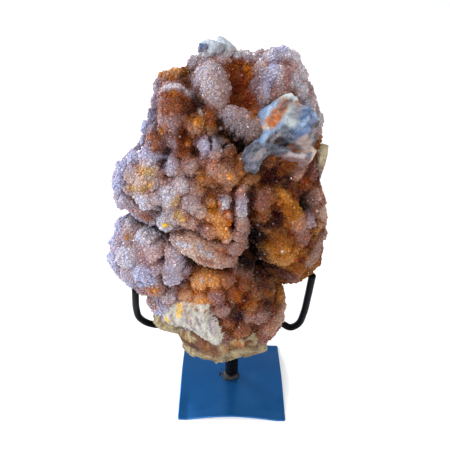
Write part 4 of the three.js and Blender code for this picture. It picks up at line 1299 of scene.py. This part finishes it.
# Stains and patches of the bare faces and the lip, as in TOUCHES.
# In the agate, the dark strokes along its slits are painted shade.
AGATE_TOUCHES = [
    ("steel", 8, [(9, 262), (14, 271), (22, 276), (31, 283)]), ("violet", 3, [(10, 258), (9, 266)]),
    ("pale", 2.5, [(12, 264), (17, 270)]), ("grey", 3, [(23, 279), (29, 284)]),
    ("umber", 2, [(19, 277), (24, 283)]), ("sky", 2.5, [(16, 276), (19, 284)]),
    ("rust", 1.5, [(27, 287), (32, 286)]), ("sky", 7, [(18, 288), (26, 289), (33, 291)]),
    ("sky", 5, [(16, 293), (20, 302), (26, 307), (32, 311)]),
    ("milk", 3.5, [(27, 307), (33, 309), (37, 304)]),
    ("milk", 5, [(31, 300), (33, 295), (34, 290)]), ("cream", 3, [(37, 304), (40, 299), (37, 296)]),
    ("ochre", 1.5, [(35, 303), (37, 299)]), ("steel", 3.5, [(29, 286), (35, 282)]),
    ("slate", 8, [(41, 296), (46, 290), (41, 284)]), ("azure", 3.5, [(41, 295), (46, 290)]),
    ("azure", 3, [(45, 284), (39, 281)]), ("sky", 1.5, [(43, 292), (39, 287)]),
    ("sky", 1.5, [(47, 295), (49, 290)]), ("milk", 2.5, [(45, 301), (50, 296), (53, 289)]),
    ("dark", 3.5, [(51, 285), (53, 279), (51, 274)]), ("umber", 2.5, [(49, 289), (47, 281)]),
    ("grey", 2, [(50, 284), (49, 277)]), ("beige", 4, [(45, 276), (42, 277), (46, 271)]),
    ("mauve", 4.5, [(34, 265), (43, 262), (49, 260)]), ("pale", 2, [(35, 268), (44, 266)]),
    ("cream", 2.5, [(51, 271), (51, 262)]), ("milk", 1.5, [(52, 268), (51, 263)]),
    ("amber", 4.4, [(20, 290), (25, 296), (29, 303)]), ("fire", 3.4, [(21, 290), (27, 299)]),
    ("rust", 2.2, [(27, 299), (30, 304)]), ("cream", 1.5, [(17, 288), (19, 287)]),
    ("dark", 4, [(28, 277), (34, 274), (40, 271)]), ("flame", 2, [(37, 273), (42, 271)]),
]

# In the quartz, the thin upright grey, beige and mauve streaks are painted shadows between its wedges.
QUARTZ_TOUCHES = [
    ("quartz", 26, [(-63, 119), (-12, 91)]), ("chalky", 7, [(-57, 112), (-43, 113), (-29, 102)]),
    ("orange", 4, [(-46, 124)]), ("yellow", 3, [(-46, 121), (-48, 125)]),
    ("yellow", 2.5, [(-58, 114), (-55, 113)]), ("orange", 3.5, [(-36, 129), (-26, 131)]),
    ("amber", 2, [(-32, 126), (-24, 122)]), ("cream", 2.5, [(-37, 122), (-36, 111)]),
    ("chalky", 3, [(-29, 128), (-26, 111)]), ("pale", 2.5, [(-21, 111), (-16, 100)]),
    ("mauve", 2, [(-20, 130), (-19, 116)]), ("beige", 1.6, [(-41, 126), (-39, 112)]),
    ("grey", 1.4, [(-32, 120), (-28, 106)]), ("beige", 1.5, [(-53, 119), (-50, 110)]),
    ("grey", 1.2, [(-22, 112), (-18, 98)]), ("grey", 1.5, [(-36, 116), (-33, 104)]),
    ("chalky", 2.5, [(-19, 98), (-13, 85)]),
]

ROCK_TOUCHES = [
    ("brown", 5, [(-45, 93), (-36, 87), (-28, 79)]),
    ("rock", 5, [(-64, 103), (-56, 97), (-47, 91)]), ("clay", 2, [(-62, 98), (-52, 92)]),
    ("umber", 4.5, [(-43, 102), (-33, 94), (-24, 84), (-17, 75)]),
    ("brown", 4.5, [(-29, 86), (-22, 79), (-13, 74)]),
    ("umber", 1.5, [(-50, 97), (-40, 89), (-31, 80)]), ("ochre", 3, [(-44, 96), (-38, 90)]),
    ("brown", 2.5, [(-34, 96), (-30, 91)]), ("rock", 2.5, [(-41, 95), (-35, 89)]),
    ("tan", 4.5, [(-24, 74), (-13, 71)]), ("rock", 2.5, [(-27, 71), (-18, 68)]),
    ("amber", 2.5, [(-27, 82), (-22, 80)]), ("tan", 4.5, [(-6, 77), (4, 82), (15, 85)]),
    ("umber", 2, [(-7, 85), (3, 89), (13, 91)]), ("rock", 2, [(-4, 71), (6, 77), (17, 81)]),
    ("umber", 1.5, [(-2, 79), (8, 84), (16, 87)]), ("amber", 2, [(0, 83), (9, 85)]),
    ("rock", 3.5, [(26, 83), (32, 87)]),
]

# Lines on the sheet along which the agate stands higher or lower: half width, height.
AGATE_RIDGES = [
    ([(16, 291), (19, 300), (26, 306), (32, 310), (37, 305), (40, 299)], 4.5, 2.4),
    ([(20, 290), (25, 296), (30, 304)], 3.5, -1.2),
    ([(41, 296), (47, 291), (41, 284)], 6, 3.0),
    ([(38, 288), (43, 283)], 3.5, 2.0),
    ([(45, 300), (50, 295), (53, 288)], 2.5, 1.5),
    ([(50, 286), (53, 279), (50, 273)], 4, -1.5),
    ([(28, 277), (34, 274), (41, 271)], 3, -5.5),
    ([(9, 262), (14, 269), (23, 274)], 6, -2.5),
    ([(51, 271), (51, 262)], 2, 1.5),
]

AGATE_FOOT = [(9, 260), (13, 269), (22, 275), (31, 281)]
AGATE_SUGAR = (8, 3)  # distances from the foot where its sugar ends and where it is full
LEAST_SUGAR = 0.12
QUARTZ_LEAN = 0.6  # rise to the left of the two lines between which its upper part begins
QUARTZ_FOOT = 15  # x at which those lines' heights are given
QUARTZ_UPPER = (60, 80)  # z there of the line where the upper part begins, and of the one where it is full


def face_lattice(outline):
    """Directions over the part of the sheet that an outline covers, and quads.

    Lines of sight are followed on a coarse lattice, and directions between
    its places are blended evenly from the four round about.
    """
    step = SIGHT_SPACING
    low, high = outline.min(axis=0) - 3, outline.max(axis=0) + 3
    coarse = [np.arange(low[k], high[k] + step, step) for k in (0, 1)]
    x, z = np.meshgrid(*coarse, indexing="ij")
    known = seen(x.ravel(), z.ravel(), body_reach)[0].reshape(*x.shape, 3)
    steps = [(np.arange(low[k], high[k], FACE_SPACING) - low[k]) / step for k in (0, 1)]
    (i, j), (f, g) = [part.astype(int) for part in steps], [part % 1 for part in steps]
    rows = known[i] * (1 - f)[:, None, None] + known[i + 1] * f[:, None, None]
    blended = rows[:, j] * (1 - g)[:, None] + rows[:, j + 1] * g[:, None]
    index = np.arange(blended.shape[0] * blended.shape[1]).reshape(blended.shape[:2])
    return unit(blended.reshape(-1, 3)), grid_quads(index)


def trimmed(quads, inside):
    """The points used by the quads that reach inside an edge, and those quads over them."""
    kept = quads[(inside[quads] > FACE_EDGE).any(axis=1)]
    used, faces = np.unique(kept, return_inverse=True)
    return used, faces.reshape(-1, 4)


def bare_face(name, material, touches, ground, relief_of, sugar_of, seed):
    """A face bare of large crystal, lifted off the body inside its outline.

    reach = body - sink + (rise + sink) * eased(inside) + relief, where the
    relief fades to nothing at the rim. A sugar of fine points grows on it.
    """
    rise, slope, outline = FACES[name]
    outline = np.array(outline, float)
    direction, quads = face_lattice(outline)
    body = body_reach(direction)
    points = point_at(direction, body)
    places = on_sheet(points)
    inside = inside_outline(places, outline) + 0.9 * waves(points, 6, 41)
    lift = eased(ramp(inside, FACE_START, FACE_START + slope))
    relief = relief_of(points, places)
    reach = body - FACE_SINK + (rise + FACE_SINK) * lift + relief * np.clip(inside * 1.3 / slope, 0, 1)
    tint = touched(points, plain(ground, points), 1.0, touches)
    # darker where the relief sinks and lighter where it rises: painted shade and light; the waves are tone
    # that differs at random
    tint = tint * (1 + 0.05 * relief + 0.14 * waves(points, 4, 42))[:, None]
    used, faces = trimmed(quads, inside)
    tint = tint[used].clip(TINT_FLOOR, TINT_LIMITS[1])
    points = point_at(direction, reach)[used]
    new_piece(name, points, faces, material, tint=tint)
    sugar(name, points, faces, direction[used], tint, sugar_of(places[used]), FACE_SUGAR, seed)


def sugar(name, points, quads, outward, tint, share, wanted, seed):
    """Fine quartz points grown over a surface where share is high."""
    normals, areas = vertex_normals(points, quads)
    normals *= np.sign(np.sum(normals * outward, axis=1))[:, None]
    bed = {"points": points, "quads": quads, "normals": normals, "areas": areas, "tint": tint,
           "bare": 1 - share, "hollow": np.zeros(len(points))}
    grown, faces, tints = crystal_band(bed, wanted, SUGAR_CELL, *SUGAR_RADII, SUGAR_TILT, False, seed)
    new_piece(name + "_sugar", grown, faces, druse_material, smooth=False, tint=tints)


def agate_sugar(places):
    """Fine points cover the agate's foot and dust the rest of it."""
    return np.maximum(ramp(route_distance(places, AGATE_FOOT), *AGATE_SUGAR), LEAST_SUGAR)


def quartz_sugar(places):
    """Fine points cover the quartz in patches and all along its upper rim."""
    patches = waves(np.insert(places * [1, 0.4], 1, 0, axis=1), 9, 50)
    rim = inside_outline(places, np.array(FACES["quartz_face"][2], float))
    upper = ramp(places[:, 1] - QUARTZ_LEAN * (QUARTZ_FOOT - places[:, 0]), *QUARTZ_UPPER)
    return np.clip(0.4 + 0.7 * patches + upper * np.clip(1.5 - rim / 6, 0, 1), 0.15, 1)


def agate_relief(points, places):
    """Ridges and slits along their lines, over chipped faces."""
    large, small = np.abs(waves(points, 13, 43)), np.abs(waves(points, 6, 44))
    relief = 1.3 * large + 0.8 * small + 0.25 * waves(points, 2, 45)
    uneven = 1 + 0.3 * waves(points, 5, 46)
    for line, half_width, height in AGATE_RIDGES:
        relief = relief + height * pit_shape(route_distance(places, line) * uneven / half_width)
    return relief


def quartz_relief(points, _):
    """Upright wedges of milky quartz, the same wherever they are on the sheet."""
    large = np.abs(waves(points * [1, 1, 0.3], 12, 47))
    small = np.abs(waves(points * [1, 1, 0.6], 5, 48))
    return 2.6 * large + 1.2 * small + 0.3 * waves(points, 2, 49) - 1.2


LIP_CELLS = 250
LIP_ACROSS = (-0.66, 0.52)  # x of the directions over the lip
LIP_TURN = (-0.9, 1.1)  # their turn from straight down, in radians, forwards being more
LIP_RISE = 1.5
LIP_BREAKS = 70
LIP_BREAK_SIZE = 13
LIP_BREAK_DEPTH = 4
LIP_GRAZING = 0.3
LIP_LAYERS = np.array([0.45, -0.22, 0.87]) / 3.4  # layers of 3.4 mm, counted across them


def lip_rock():
    """The layered rock under the front lip.

    Over a lattice of directions about straight down, reach = body + rise inside
    the lip, cut back by seeded flat breaks and by ledges: each layer's height
    falls away as the cube of the way through it.
    """
    across, turn = np.meshgrid(np.linspace(*LIP_ACROSS, LIP_CELLS), np.linspace(*LIP_TURN, LIP_CELLS),
                               indexing="ij")
    level = np.sqrt(1 - across * across)
    direction = np.stack([across, -np.sin(turn) * level, -np.cos(turn) * level], axis=-1).reshape(-1, 3)
    quads = grid_quads(np.arange(LIP_CELLS * LIP_CELLS).reshape(LIP_CELLS, LIP_CELLS))
    body = body_reach(direction)
    points = point_at(direction, body)
    normals = vertex_normals(points, quads)[0]
    normals *= np.sign(np.sum(normals * direction, axis=1))[:, None]
    edge = np.minimum.reduce([
        across - LIP_ACROSS[0], LIP_ACROSS[1] - across, (turn - LIP_TURN[0]) / 2, (LIP_TURN[1] - turn) / 2,
    ]).ravel()
    inside = np.minimum(under_lip(on_sheet(points)) + 2.0 * waves(points, 9, 61), edge * 60 - 1)
    lift = ramp(inside, FACE_START, FACE_START + 3)
    reach = body + LIP_RISE * lift - FACE_SINK * (1 - lift) + 0.5
    draw = np.random.default_rng(62)
    for k in draw.choice(len(points), LIP_BREAKS, replace=False):
        outward = unit(normals[k] + draw.normal(size=3) * 0.16)
        stands = points[k] + normals[k] * (LIP_RISE - draw.uniform(0.4, 2.6))
        towards = direction @ outward
        face = ((stands - core_foot(direction)) @ outward) / np.maximum(towards, LIP_GRAZING)
        near = (np.linalg.norm(points - stands, axis=1) < LIP_BREAK_SIZE) & (towards > LIP_GRAZING)
        cut = np.minimum(reach, np.maximum(face, reach - LIP_BREAK_DEPTH))
        reach = np.where(near, cut, reach)
    layer = points @ LIP_LAYERS + 0.9 * waves(points, 26, 63)
    thin = layer * 2.6 + 0.7 * waves(points, 12, 64)
    ledge, thin_ledge = (layer % 1) ** 3, (thin % 1) ** 3
    reach = reach - 1.7 * ledge - 0.6 * thin_ledge - 0.4 * np.abs(waves(points, 2.5, 65))
    # each layer differs in tone; the darkening on the cut-back ledges is painted shade
    shade = 0.78 + 0.3 * np.sin(np.floor(layer) * 2.4) ** 2 - 0.35 * ledge - 0.25 * thin_ledge
    front = np.clip(-direction[:, 1] * 3 + 0.5, 0, 1)
    tint = touched(points, plain("rock", points) * 0.8, front, ROCK_TOUCHES)
    tint = tint * (shade + 0.12 * waves(points, 3, 66))[:, None]
    used, faces = trimmed(quads, inside)
    points = point_at(direction, short_of_rod(direction, reach))[used]
    new_piece("lip_rock", points, faces, rock_material,
              tint=tint[used].clip(TINT_FLOOR, TINT_LIMITS[1]))


def skin(rings):
    """Triangles over closed rings of points, with a fan to the middle of each end."""
    count, around = rings.shape[:2]
    index = np.arange(count * around).reshape(count, around)
    after = np.roll(index, -1, axis=1)
    a, b, c, d = index[:-1], after[:-1], after[1:], index[1:]
    sides = [np.stack(corners, axis=-1).reshape(-1, 3) for corners in ((a, b, c), (a, c, d))]
    first, last = count * around, count * around + 1
    start = np.stack([after[0], index[0], np.full(around, first)], axis=1)
    end = np.stack([index[-1], after[-1], np.full(around, last)], axis=1)
    points = np.vstack([rings.reshape(-1, 3), rings[0].mean(axis=0), rings[-1].mean(axis=0)])
    return points, np.concatenate([*sides, start, end])


CHIP_CELLS = (24, 24, 24)
CHIP_ROUNDING = 0.12
CHIP_MOST = 1.6  # greatest reach of a chip, in half sizes
CHIP_FACES = (0.62, 0.95)  # distances of its faces from its middle
CHIP_GRAZING = 0.3


def broken_lump(name, centre, half_sizes, tints, faces, seed):
    """A chip of agate with broken faces.

    Over the direction lattice the reach is the smooth smallest of
    distance / (direction . outward) for seeded faces, stretched by half_sizes.
    """
    draw = np.random.default_rng(seed)
    direction, quads = direction_lattice(CHIP_CELLS, 0)
    reach = np.full(len(direction), CHIP_MOST)
    for outward, distance in zip(unit(draw.normal(size=(faces, 3))), draw.uniform(*CHIP_FACES, faces)):
        face = distance / np.maximum(direction @ outward, CHIP_GRAZING)
        reach = -smooth_max(-reach, -face, CHIP_ROUNDING)
    points = np.array(centre) + direction * reach[:, None] * half_sizes
    points += direction * (0.25 * waves(points, 3, seed + 1))[:, None]
    points += direction * (0.3 * np.abs(waves(points, 5, seed + 3)))[:, None]
    share = np.clip(0.5 + 0.8 * direction[:, 2] + 0.5 * waves(points, 8, seed + 2), 0, 1)
    low, high = linear([TINTS[tint] for tint in tints])
    tint = (low + (high - low) * share[:, None]) * (0.9 + 0.14 * waves(points, 4, seed + 4))[:, None]
    new_piece(name, points, quads, chalcedony_material, tint=tint)
    low_down = np.clip(0.6 - 1.2 * direction[:, 2] + 0.8 * waves(points, 6, seed + 5), 0.05, 1)
    sugar(name, points, quads, direction, tint, low_down, CHIP_SUGAR, seed)


def chips():
    """The stones on the crown and the flake at the right edge."""
    lumps = (
        # name, middle, half sizes, tints below and above, faces, seed
        ("crown_stone", (-19, -6, 332.5), (10.5, 10, 8.5), ("grey", "chalk"), 16, 51),
        ("crown_chip", (-9.5, -5, 334), (6, 8, 6), ("pale", "chalk"), 14, 53),
        ("crown_blue", (-25.5, -9, 335), (3, 3, 3.5), ("grey", "azure"), 10, 57),
        ("flank_flake", (65, -8, 249), (5, 7, 18), ("mauve", "rock"), 16, 59),
    )
    for lump in lumps:
        broken_lump(*lump)


# ---- stand ------------------------------------------------------------------

PLATE_SIDE = 102.0
PLATE_THICKNESS = 2.0
PLATE_RISE = 5.0
PLATE_TOP = PLATE_THICKNESS + PLATE_RISE
PLATE_PAD = 9.0  # flat corner foot
PLATE_EDGE = 1.0  # width of the rounded rim
PLATE_RIM = np.array([0, 0.03, 0.1, 0.22, 0.4, 0.65, 1.0])  # places of the lattice in from the rim
PLATE_INNER, PLATE_CELLS = 1.5, 78  # where its even part begins, and the places in that
PLATE_CORNER_POWER = 70.0  # the outline's superellipse: higher is a sharper corner
PLATE_RIM_POWER = 2.5  # the rounded rim's superellipse
PLATE_DOME_POWER = 1.6
POST_RADIUS = 5.9
POST_FOOT = 7.4
POST_HEAD = 72.9
POST_RINGS, POST_SIDES = 240, 48
RIB_HEIGHT = 0.55
RIB_PITCH = 5.0
RIB_LEAN = 2.2
RIB_EDGE = (0.35, 0.85)  # sine of the turn where a rib begins to rise and where it is full
SEAM_EDGE = (0.985, 0.997)  # cosine of the angle where a seam begins and where it is full
ROD_SIDES, ROD_RINGS = 24, 200
ROD_INSETS = np.array([0.02, 0.12, 0.35, 0.7, 1.2])  # rings in the rounding of each end
ROD_ROUNDING = 1.2
ROD_EVEN = 2.0  # from here on the rings are evenly spaced
ROD_END = 0.6  # share of the radius left at the very end


def base_plate():
    """A square sheet of steel, domed so that it stands on its four corners.

    top = thickness + rise * (1 - (product of |x| and |y|, each as a share of the
    pad line's and 1 at most) ^ dome power) on a grid, and the underside is the same
    less the thickness; both close on each other over the rim as a superellipse.
    """
    half = PLATE_SIDE / 2
    rim = half - PLATE_RIM
    inner = np.linspace(-half + PLATE_INNER, half - PLATE_INNER, PLATE_CELLS)
    line = np.concatenate([-rim, inner, rim[::-1]]) / half
    u, v = np.meshgrid(line, line, indexing="ij")
    most = np.maximum(np.abs(u), np.abs(v)) + 1e-9
    power = PLATE_CORNER_POWER
    scale = (np.abs(u / most) ** power + np.abs(v / most) ** power) ** (1 / power)
    x, y = u * half / scale, v * half / scale
    pad_line = half - PLATE_PAD
    fall = np.minimum(np.abs(x) / pad_line, 1) * np.minimum(np.abs(y) / pad_line, 1)
    top = PLATE_THICKNESS + PLATE_RISE * (1 - fall ** PLATE_DOME_POWER)
    inset = np.clip(1 - half * (1 - most) / PLATE_EDGE, 0, 1)
    closing = PLATE_THICKNESS / 2 * (1 - (1 - inset ** PLATE_RIM_POWER) ** (1 / PLATE_RIM_POWER))
    upper = np.stack([x, y, top - closing], axis=-1).reshape(-1, 3)
    lower = np.stack([x, y, top - PLATE_THICKNESS + closing], axis=-1).reshape(-1, 3)
    count = len(line)
    index = np.arange(count * count).reshape(count, count)
    below = index + count * count
    below[0], below[-1], below[:, 0], below[:, -1] = index[0], index[-1], index[:, 0], index[:, -1]
    quads = np.concatenate([grid_quads(index), grid_quads(below)[:, ::-1]])
    used, faces = np.unique(quads, return_inverse=True)
    points = np.vstack([upper, lower])[used]
    new_piece("plate", points, faces.reshape(-1, 4), plate_paint_and_sky_reflection(), ["base_plate"])


def ribbed_post():
    """A reinforcing bar: radius = core + rib height * crescent ribs and two seams.

    A rib is the high part of sin(2 pi z / pitch + lean * cos(angle)), with the lean
    turned round on the other side of the bar, and the seams run along it between.
    """
    z = np.linspace(POST_FOOT, POST_HEAD, POST_RINGS)[:, None]
    angle = np.linspace(0, 2 * pi, POST_SIDES, endpoint=False)[None]
    side = np.abs(np.sin(angle))
    turn = np.sin(2 * pi * z / RIB_PITCH + RIB_LEAN * np.cos(angle) * np.sign(np.sin(angle)))
    rib = ramp(turn, *RIB_EDGE) * np.clip(side * 1.6, 0, 1)
    seam = ramp(np.abs(np.cos(angle)), *SEAM_EDGE) * np.ones_like(z)
    radius = POST_RADIUS + RIB_HEIGHT * np.maximum(rib, seam)
    rings = np.stack([radius * np.cos(angle) + ROD_AT_POST[0], radius * np.sin(angle) + ROD_AT_POST[1],
                      z * np.ones_like(angle)], axis=-1)
    points, faces = skin(rings)
    new_piece("ribbed_post", points, faces, black_paint_material, ["post"])


def cradle_rod():
    """A round bar carried along the rod's line, its cut ends a little rounded.

    radius = rod radius * (end + (1 - end) * root(1 - inset^2)), where inset falls
    from 1 at each end to 0 at the rounding's length from it.
    """
    steps = np.linalg.norm(np.diff(ROD_LINE, axis=0), axis=1)
    total = steps.sum()
    at = np.concatenate([ROD_INSETS, np.linspace(ROD_EVEN, total - ROD_EVEN, ROD_RINGS),
                         total - ROD_INSETS[::-1]])
    done = np.append(0, np.cumsum(steps))
    line = np.stack([np.interp(at, done, ROD_LINE[:, k]) for k in range(3)], axis=1)
    inset = np.clip(1 - np.minimum(at, total - at) / ROD_ROUNDING, 0, 1)
    radius = ROD_RADIUS * (ROD_END + (1 - ROD_END) * np.sqrt(1 - inset * inset))
    tangent = unit(np.gradient(line, axis=0))
    across = unit(np.cross(tangent, [0, 1, 0]))
    beside = np.cross(across, tangent)
    angle = np.linspace(0, 2 * pi, ROD_SIDES, endpoint=False)[:, None]
    rings = line[:, None] + radius[:, None, None] * (
        across[:, None] * np.cos(angle) + beside[:, None] * np.sin(angle))
    points, faces = skin(rings[:, ::-1])
    new_piece("bent_rod", points, faces, black_paint_material, ["cradle_rod"])


WELD_CELLS = (26, 26, 18)
WELD_BODY, WELD_LUMPS = 0.93, 0.07  # shares of a weld's half sizes
WELD_RIPPLE, WELD_RIPPLES = 0.02, 26  # depth of the electrode's ripples and their number round it
SPATTER_DROPS = 9
SPATTER_TURN = (2.4, 5.2)  # radians round the post, counted from +X
SPATTER_AWAY = (9.5, 14)  # from the post's middle
SPATTER_SIZE = (0.5, 1.1)
SPATTER_FLAT = np.array([1, 1, 0.6])


def weld_bead(name, centre, half_sizes, bottom, replaced, seed):
    """A weld: an ellipsoid with lumps and the ripples of the electrode.

    point = centre + sizes * direction * (body + lumps + ripples), held above the bottom.
    """
    direction, quads = direction_lattice(WELD_CELLS, 0)
    around = np.arctan2(direction[:, 1], direction[:, 0])
    lumps = WELD_LUMPS * waves(direction, 1.1, seed)
    ripples = WELD_RIPPLE * np.sin(WELD_RIPPLES * around + 3 * waves(direction, 1.5, seed + 1))
    points = np.array(centre) + direction * (WELD_BODY + lumps + ripples)[:, None] * half_sizes
    points[:, 2] = np.maximum(points[:, 2], bottom)
    new_piece(name, points, quads, weld_material, [replaced])


def weld_spatter():
    """Drops of weld metal thrown on to the plate round the foot of the post."""
    draw = np.random.default_rng(71)
    direction, quads = direction_lattice((4, 4, 3), 0)
    drops = []
    for _ in range(SPATTER_DROPS):
        angle, away, size = [draw.uniform(*limits) for limits in (SPATTER_TURN, SPATTER_AWAY, SPATTER_SIZE)]
        x, y = away * np.cos(angle), away * np.sin(angle) + ROD_AT_POST[1]
        drops.append(np.array([x, y, PLATE_TOP]) + direction * size * SPATTER_FLAT)
    points = np.concatenate(drops)
    faces = np.concatenate([quads + k * len(direction) for k in range(len(drops))])
    new_piece("weld_spatter", points, faces, weld_material)


# ---- floor, light and camera ------------------------------------------------

FLOOR_HALF = 8.0  # metres
FLOOR_TONES = ((0.58, 0.58, 0.585, 1), (0.61, 0.61, 0.61, 1))
FLOOR_GLOW = 0.42
WORLD_COLOUR, WORLD_STRENGTH = (0.94, 0.96, 1.0, 1), 0.4
DAYLIGHT_FROM, DAYLIGHT_POWER, DAYLIGHT_ANGLE = (-900, -600, 1100), 2.2, 50
DAYLIGHT_COLOUR = (0.99, 0.985, 1.0)
STONE_MIDDLE = (-10, 0, 200)
LAMPS = (
    # name, place and side in millimetres, power in watts, colour, what it faces
    ("fill", (900, -500, 500), 600, 3, (1.0, 0.9, 0.8), STONE_MIDDLE),
    ("window_left", (-1000, -150, 450), 700, 4, (0.8, 0.88, 1.0), STONE_MIDDLE),
    ("back_sky", (-1700, 1250, 1300), 800, 42, (0.8, 0.9, 1.0), (-60, 0, 0)),
    ("sparkle_left", (-500, -900, 1100), 40, 2.5, (1.0, 1.0, 1.0), STONE_MIDDLE),
    ("sparkle_right", (400, -900, 900), 40, 3, (1.0, 0.97, 0.92), STONE_MIDDLE),
)
CAMERA_PLACE = (-8.7, -413, 428)
CAMERA_TILT, CAMERA_ROLL = 59.5, 0.8  # degrees from straight down, and about the line of sight
LENS, SENSOR = 44.8, 36.0


def floor():
    """A plain pale floor."""
    material, tree, shader, position = new_material("pale floor")
    faint = node(tree, "TexNoise", Vector=position, Scale=3.0, Detail=2.0)
    tone = mixed(tree, faint.outputs[0], *FLOOR_TONES)
    finish_surface(tree, shader, tone, spread(tree, faint.outputs[0], 0.0, 1.0, 0.8, 0.95),
                   Emission_Color=(1.0, 1.0, 1.0, 1.0), Emission_Strength=FLOOR_GLOW, Specular_IOR_Level=0.1)
    corners = [(x * FLOOR_HALF, y * FLOOR_HALF, 0) for x, y in ((-1, -1), (1, -1), (1, 1), (-1, 1))]
    mesh = bpy.data.meshes.new("floor")
    mesh.from_pydata(corners, [], [(0, 1, 2, 3)])
    mesh.materials.append(material)
    piece = placed("floor", mesh)


def facing(place, aim):
    """The placing of a lamp at one point whose light runs towards another, in millimetres."""
    away = unit(np.array(place, float) - np.array(aim, float))
    side = unit(np.cross([0, 0, 1], away))
    turn = Matrix(np.stack([side, np.cross(away, side), away], axis=1).tolist()).to_4x4()
    return Matrix.Translation(to_scene(place)) @ turn


def studio():
    """A white surround, high daylight from the left, and square lamps round the stone."""
    world = bpy.data.worlds.new("studio")
    world.use_nodes = True
    surround = world.node_tree.nodes["Background"].inputs
    surround["Color"].default_value = WORLD_COLOUR
    surround["Strength"].default_value = WORLD_STRENGTH
    bpy.context.scene.world = world
    daylight = bpy.data.lights.new("daylight", "SUN")
    daylight.energy = DAYLIGHT_POWER
    daylight.angle = radians(DAYLIGHT_ANGLE)
    daylight.color = DAYLIGHT_COLOUR
    placed("daylight", daylight).matrix_world = facing(DAYLIGHT_FROM, (0, 0, 0))
    for name, place, side, power, tone, aim in LAMPS:
        lamp = bpy.data.lights.new(name, "AREA")
        lamp.size = side * MM
        lamp.energy = power
        lamp.color = tone
        placed(name, lamp).matrix_world = facing(place, aim)
    bpy.context.scene.view_settings.view_transform = "Standard"


def camera():
    """A lens above the stone's middle and in front of it, looking down at it."""
    lens = bpy.data.cameras.new("camera")
    lens.sensor_width = SENSOR
    lens.lens = LENS
    turn = Matrix.Rotation(radians(CAMERA_TILT), 4, "X") @ Matrix.Rotation(radians(CAMERA_ROLL), 4, "Z")
    eye = placed("camera", lens)
    eye.matrix_world = Matrix.Translation(to_scene(CAMERA_PLACE)) @ turn
    bpy.context.scene.camera = eye


# ---- the whole thing --------------------------------------------------------

camera()
studio()
floor()

druse_material = amethyst_druse()
chalcedony_material = chalcedony()
rock_material = matrix_rock()
black_paint_material = black_paint()
weld_material = weld_metal()

STONE = stone_bed()
new_piece("amethyst_stone", STONE["points"], STONE["quads"], crystal_bed(),
          ["amethyst_cluster"], tint=STONE["tint"])
crystals(STONE)
bare_face("agate_face", chalcedony_material, AGATE_TOUCHES, "steel", agate_relief, agate_sugar, 21)
bare_face("quartz_face", chalcedony_material, QUARTZ_TOUCHES, "quartz", quartz_relief, quartz_sugar, 22)
lip_rock()
chips()
base_plate()
ribbed_post()
cradle_rod()
weld_bead("foot_weld_bead", (-1, 1, 7.4), (9.5, 9, 4.8), 7.4, "foot_weld", 81)
weld_bead("cradle_weld_bead", (0, 2, 72), (9.5, 8.5, 6.5), 60, "cradle_weld", 83)
weld_spatter()
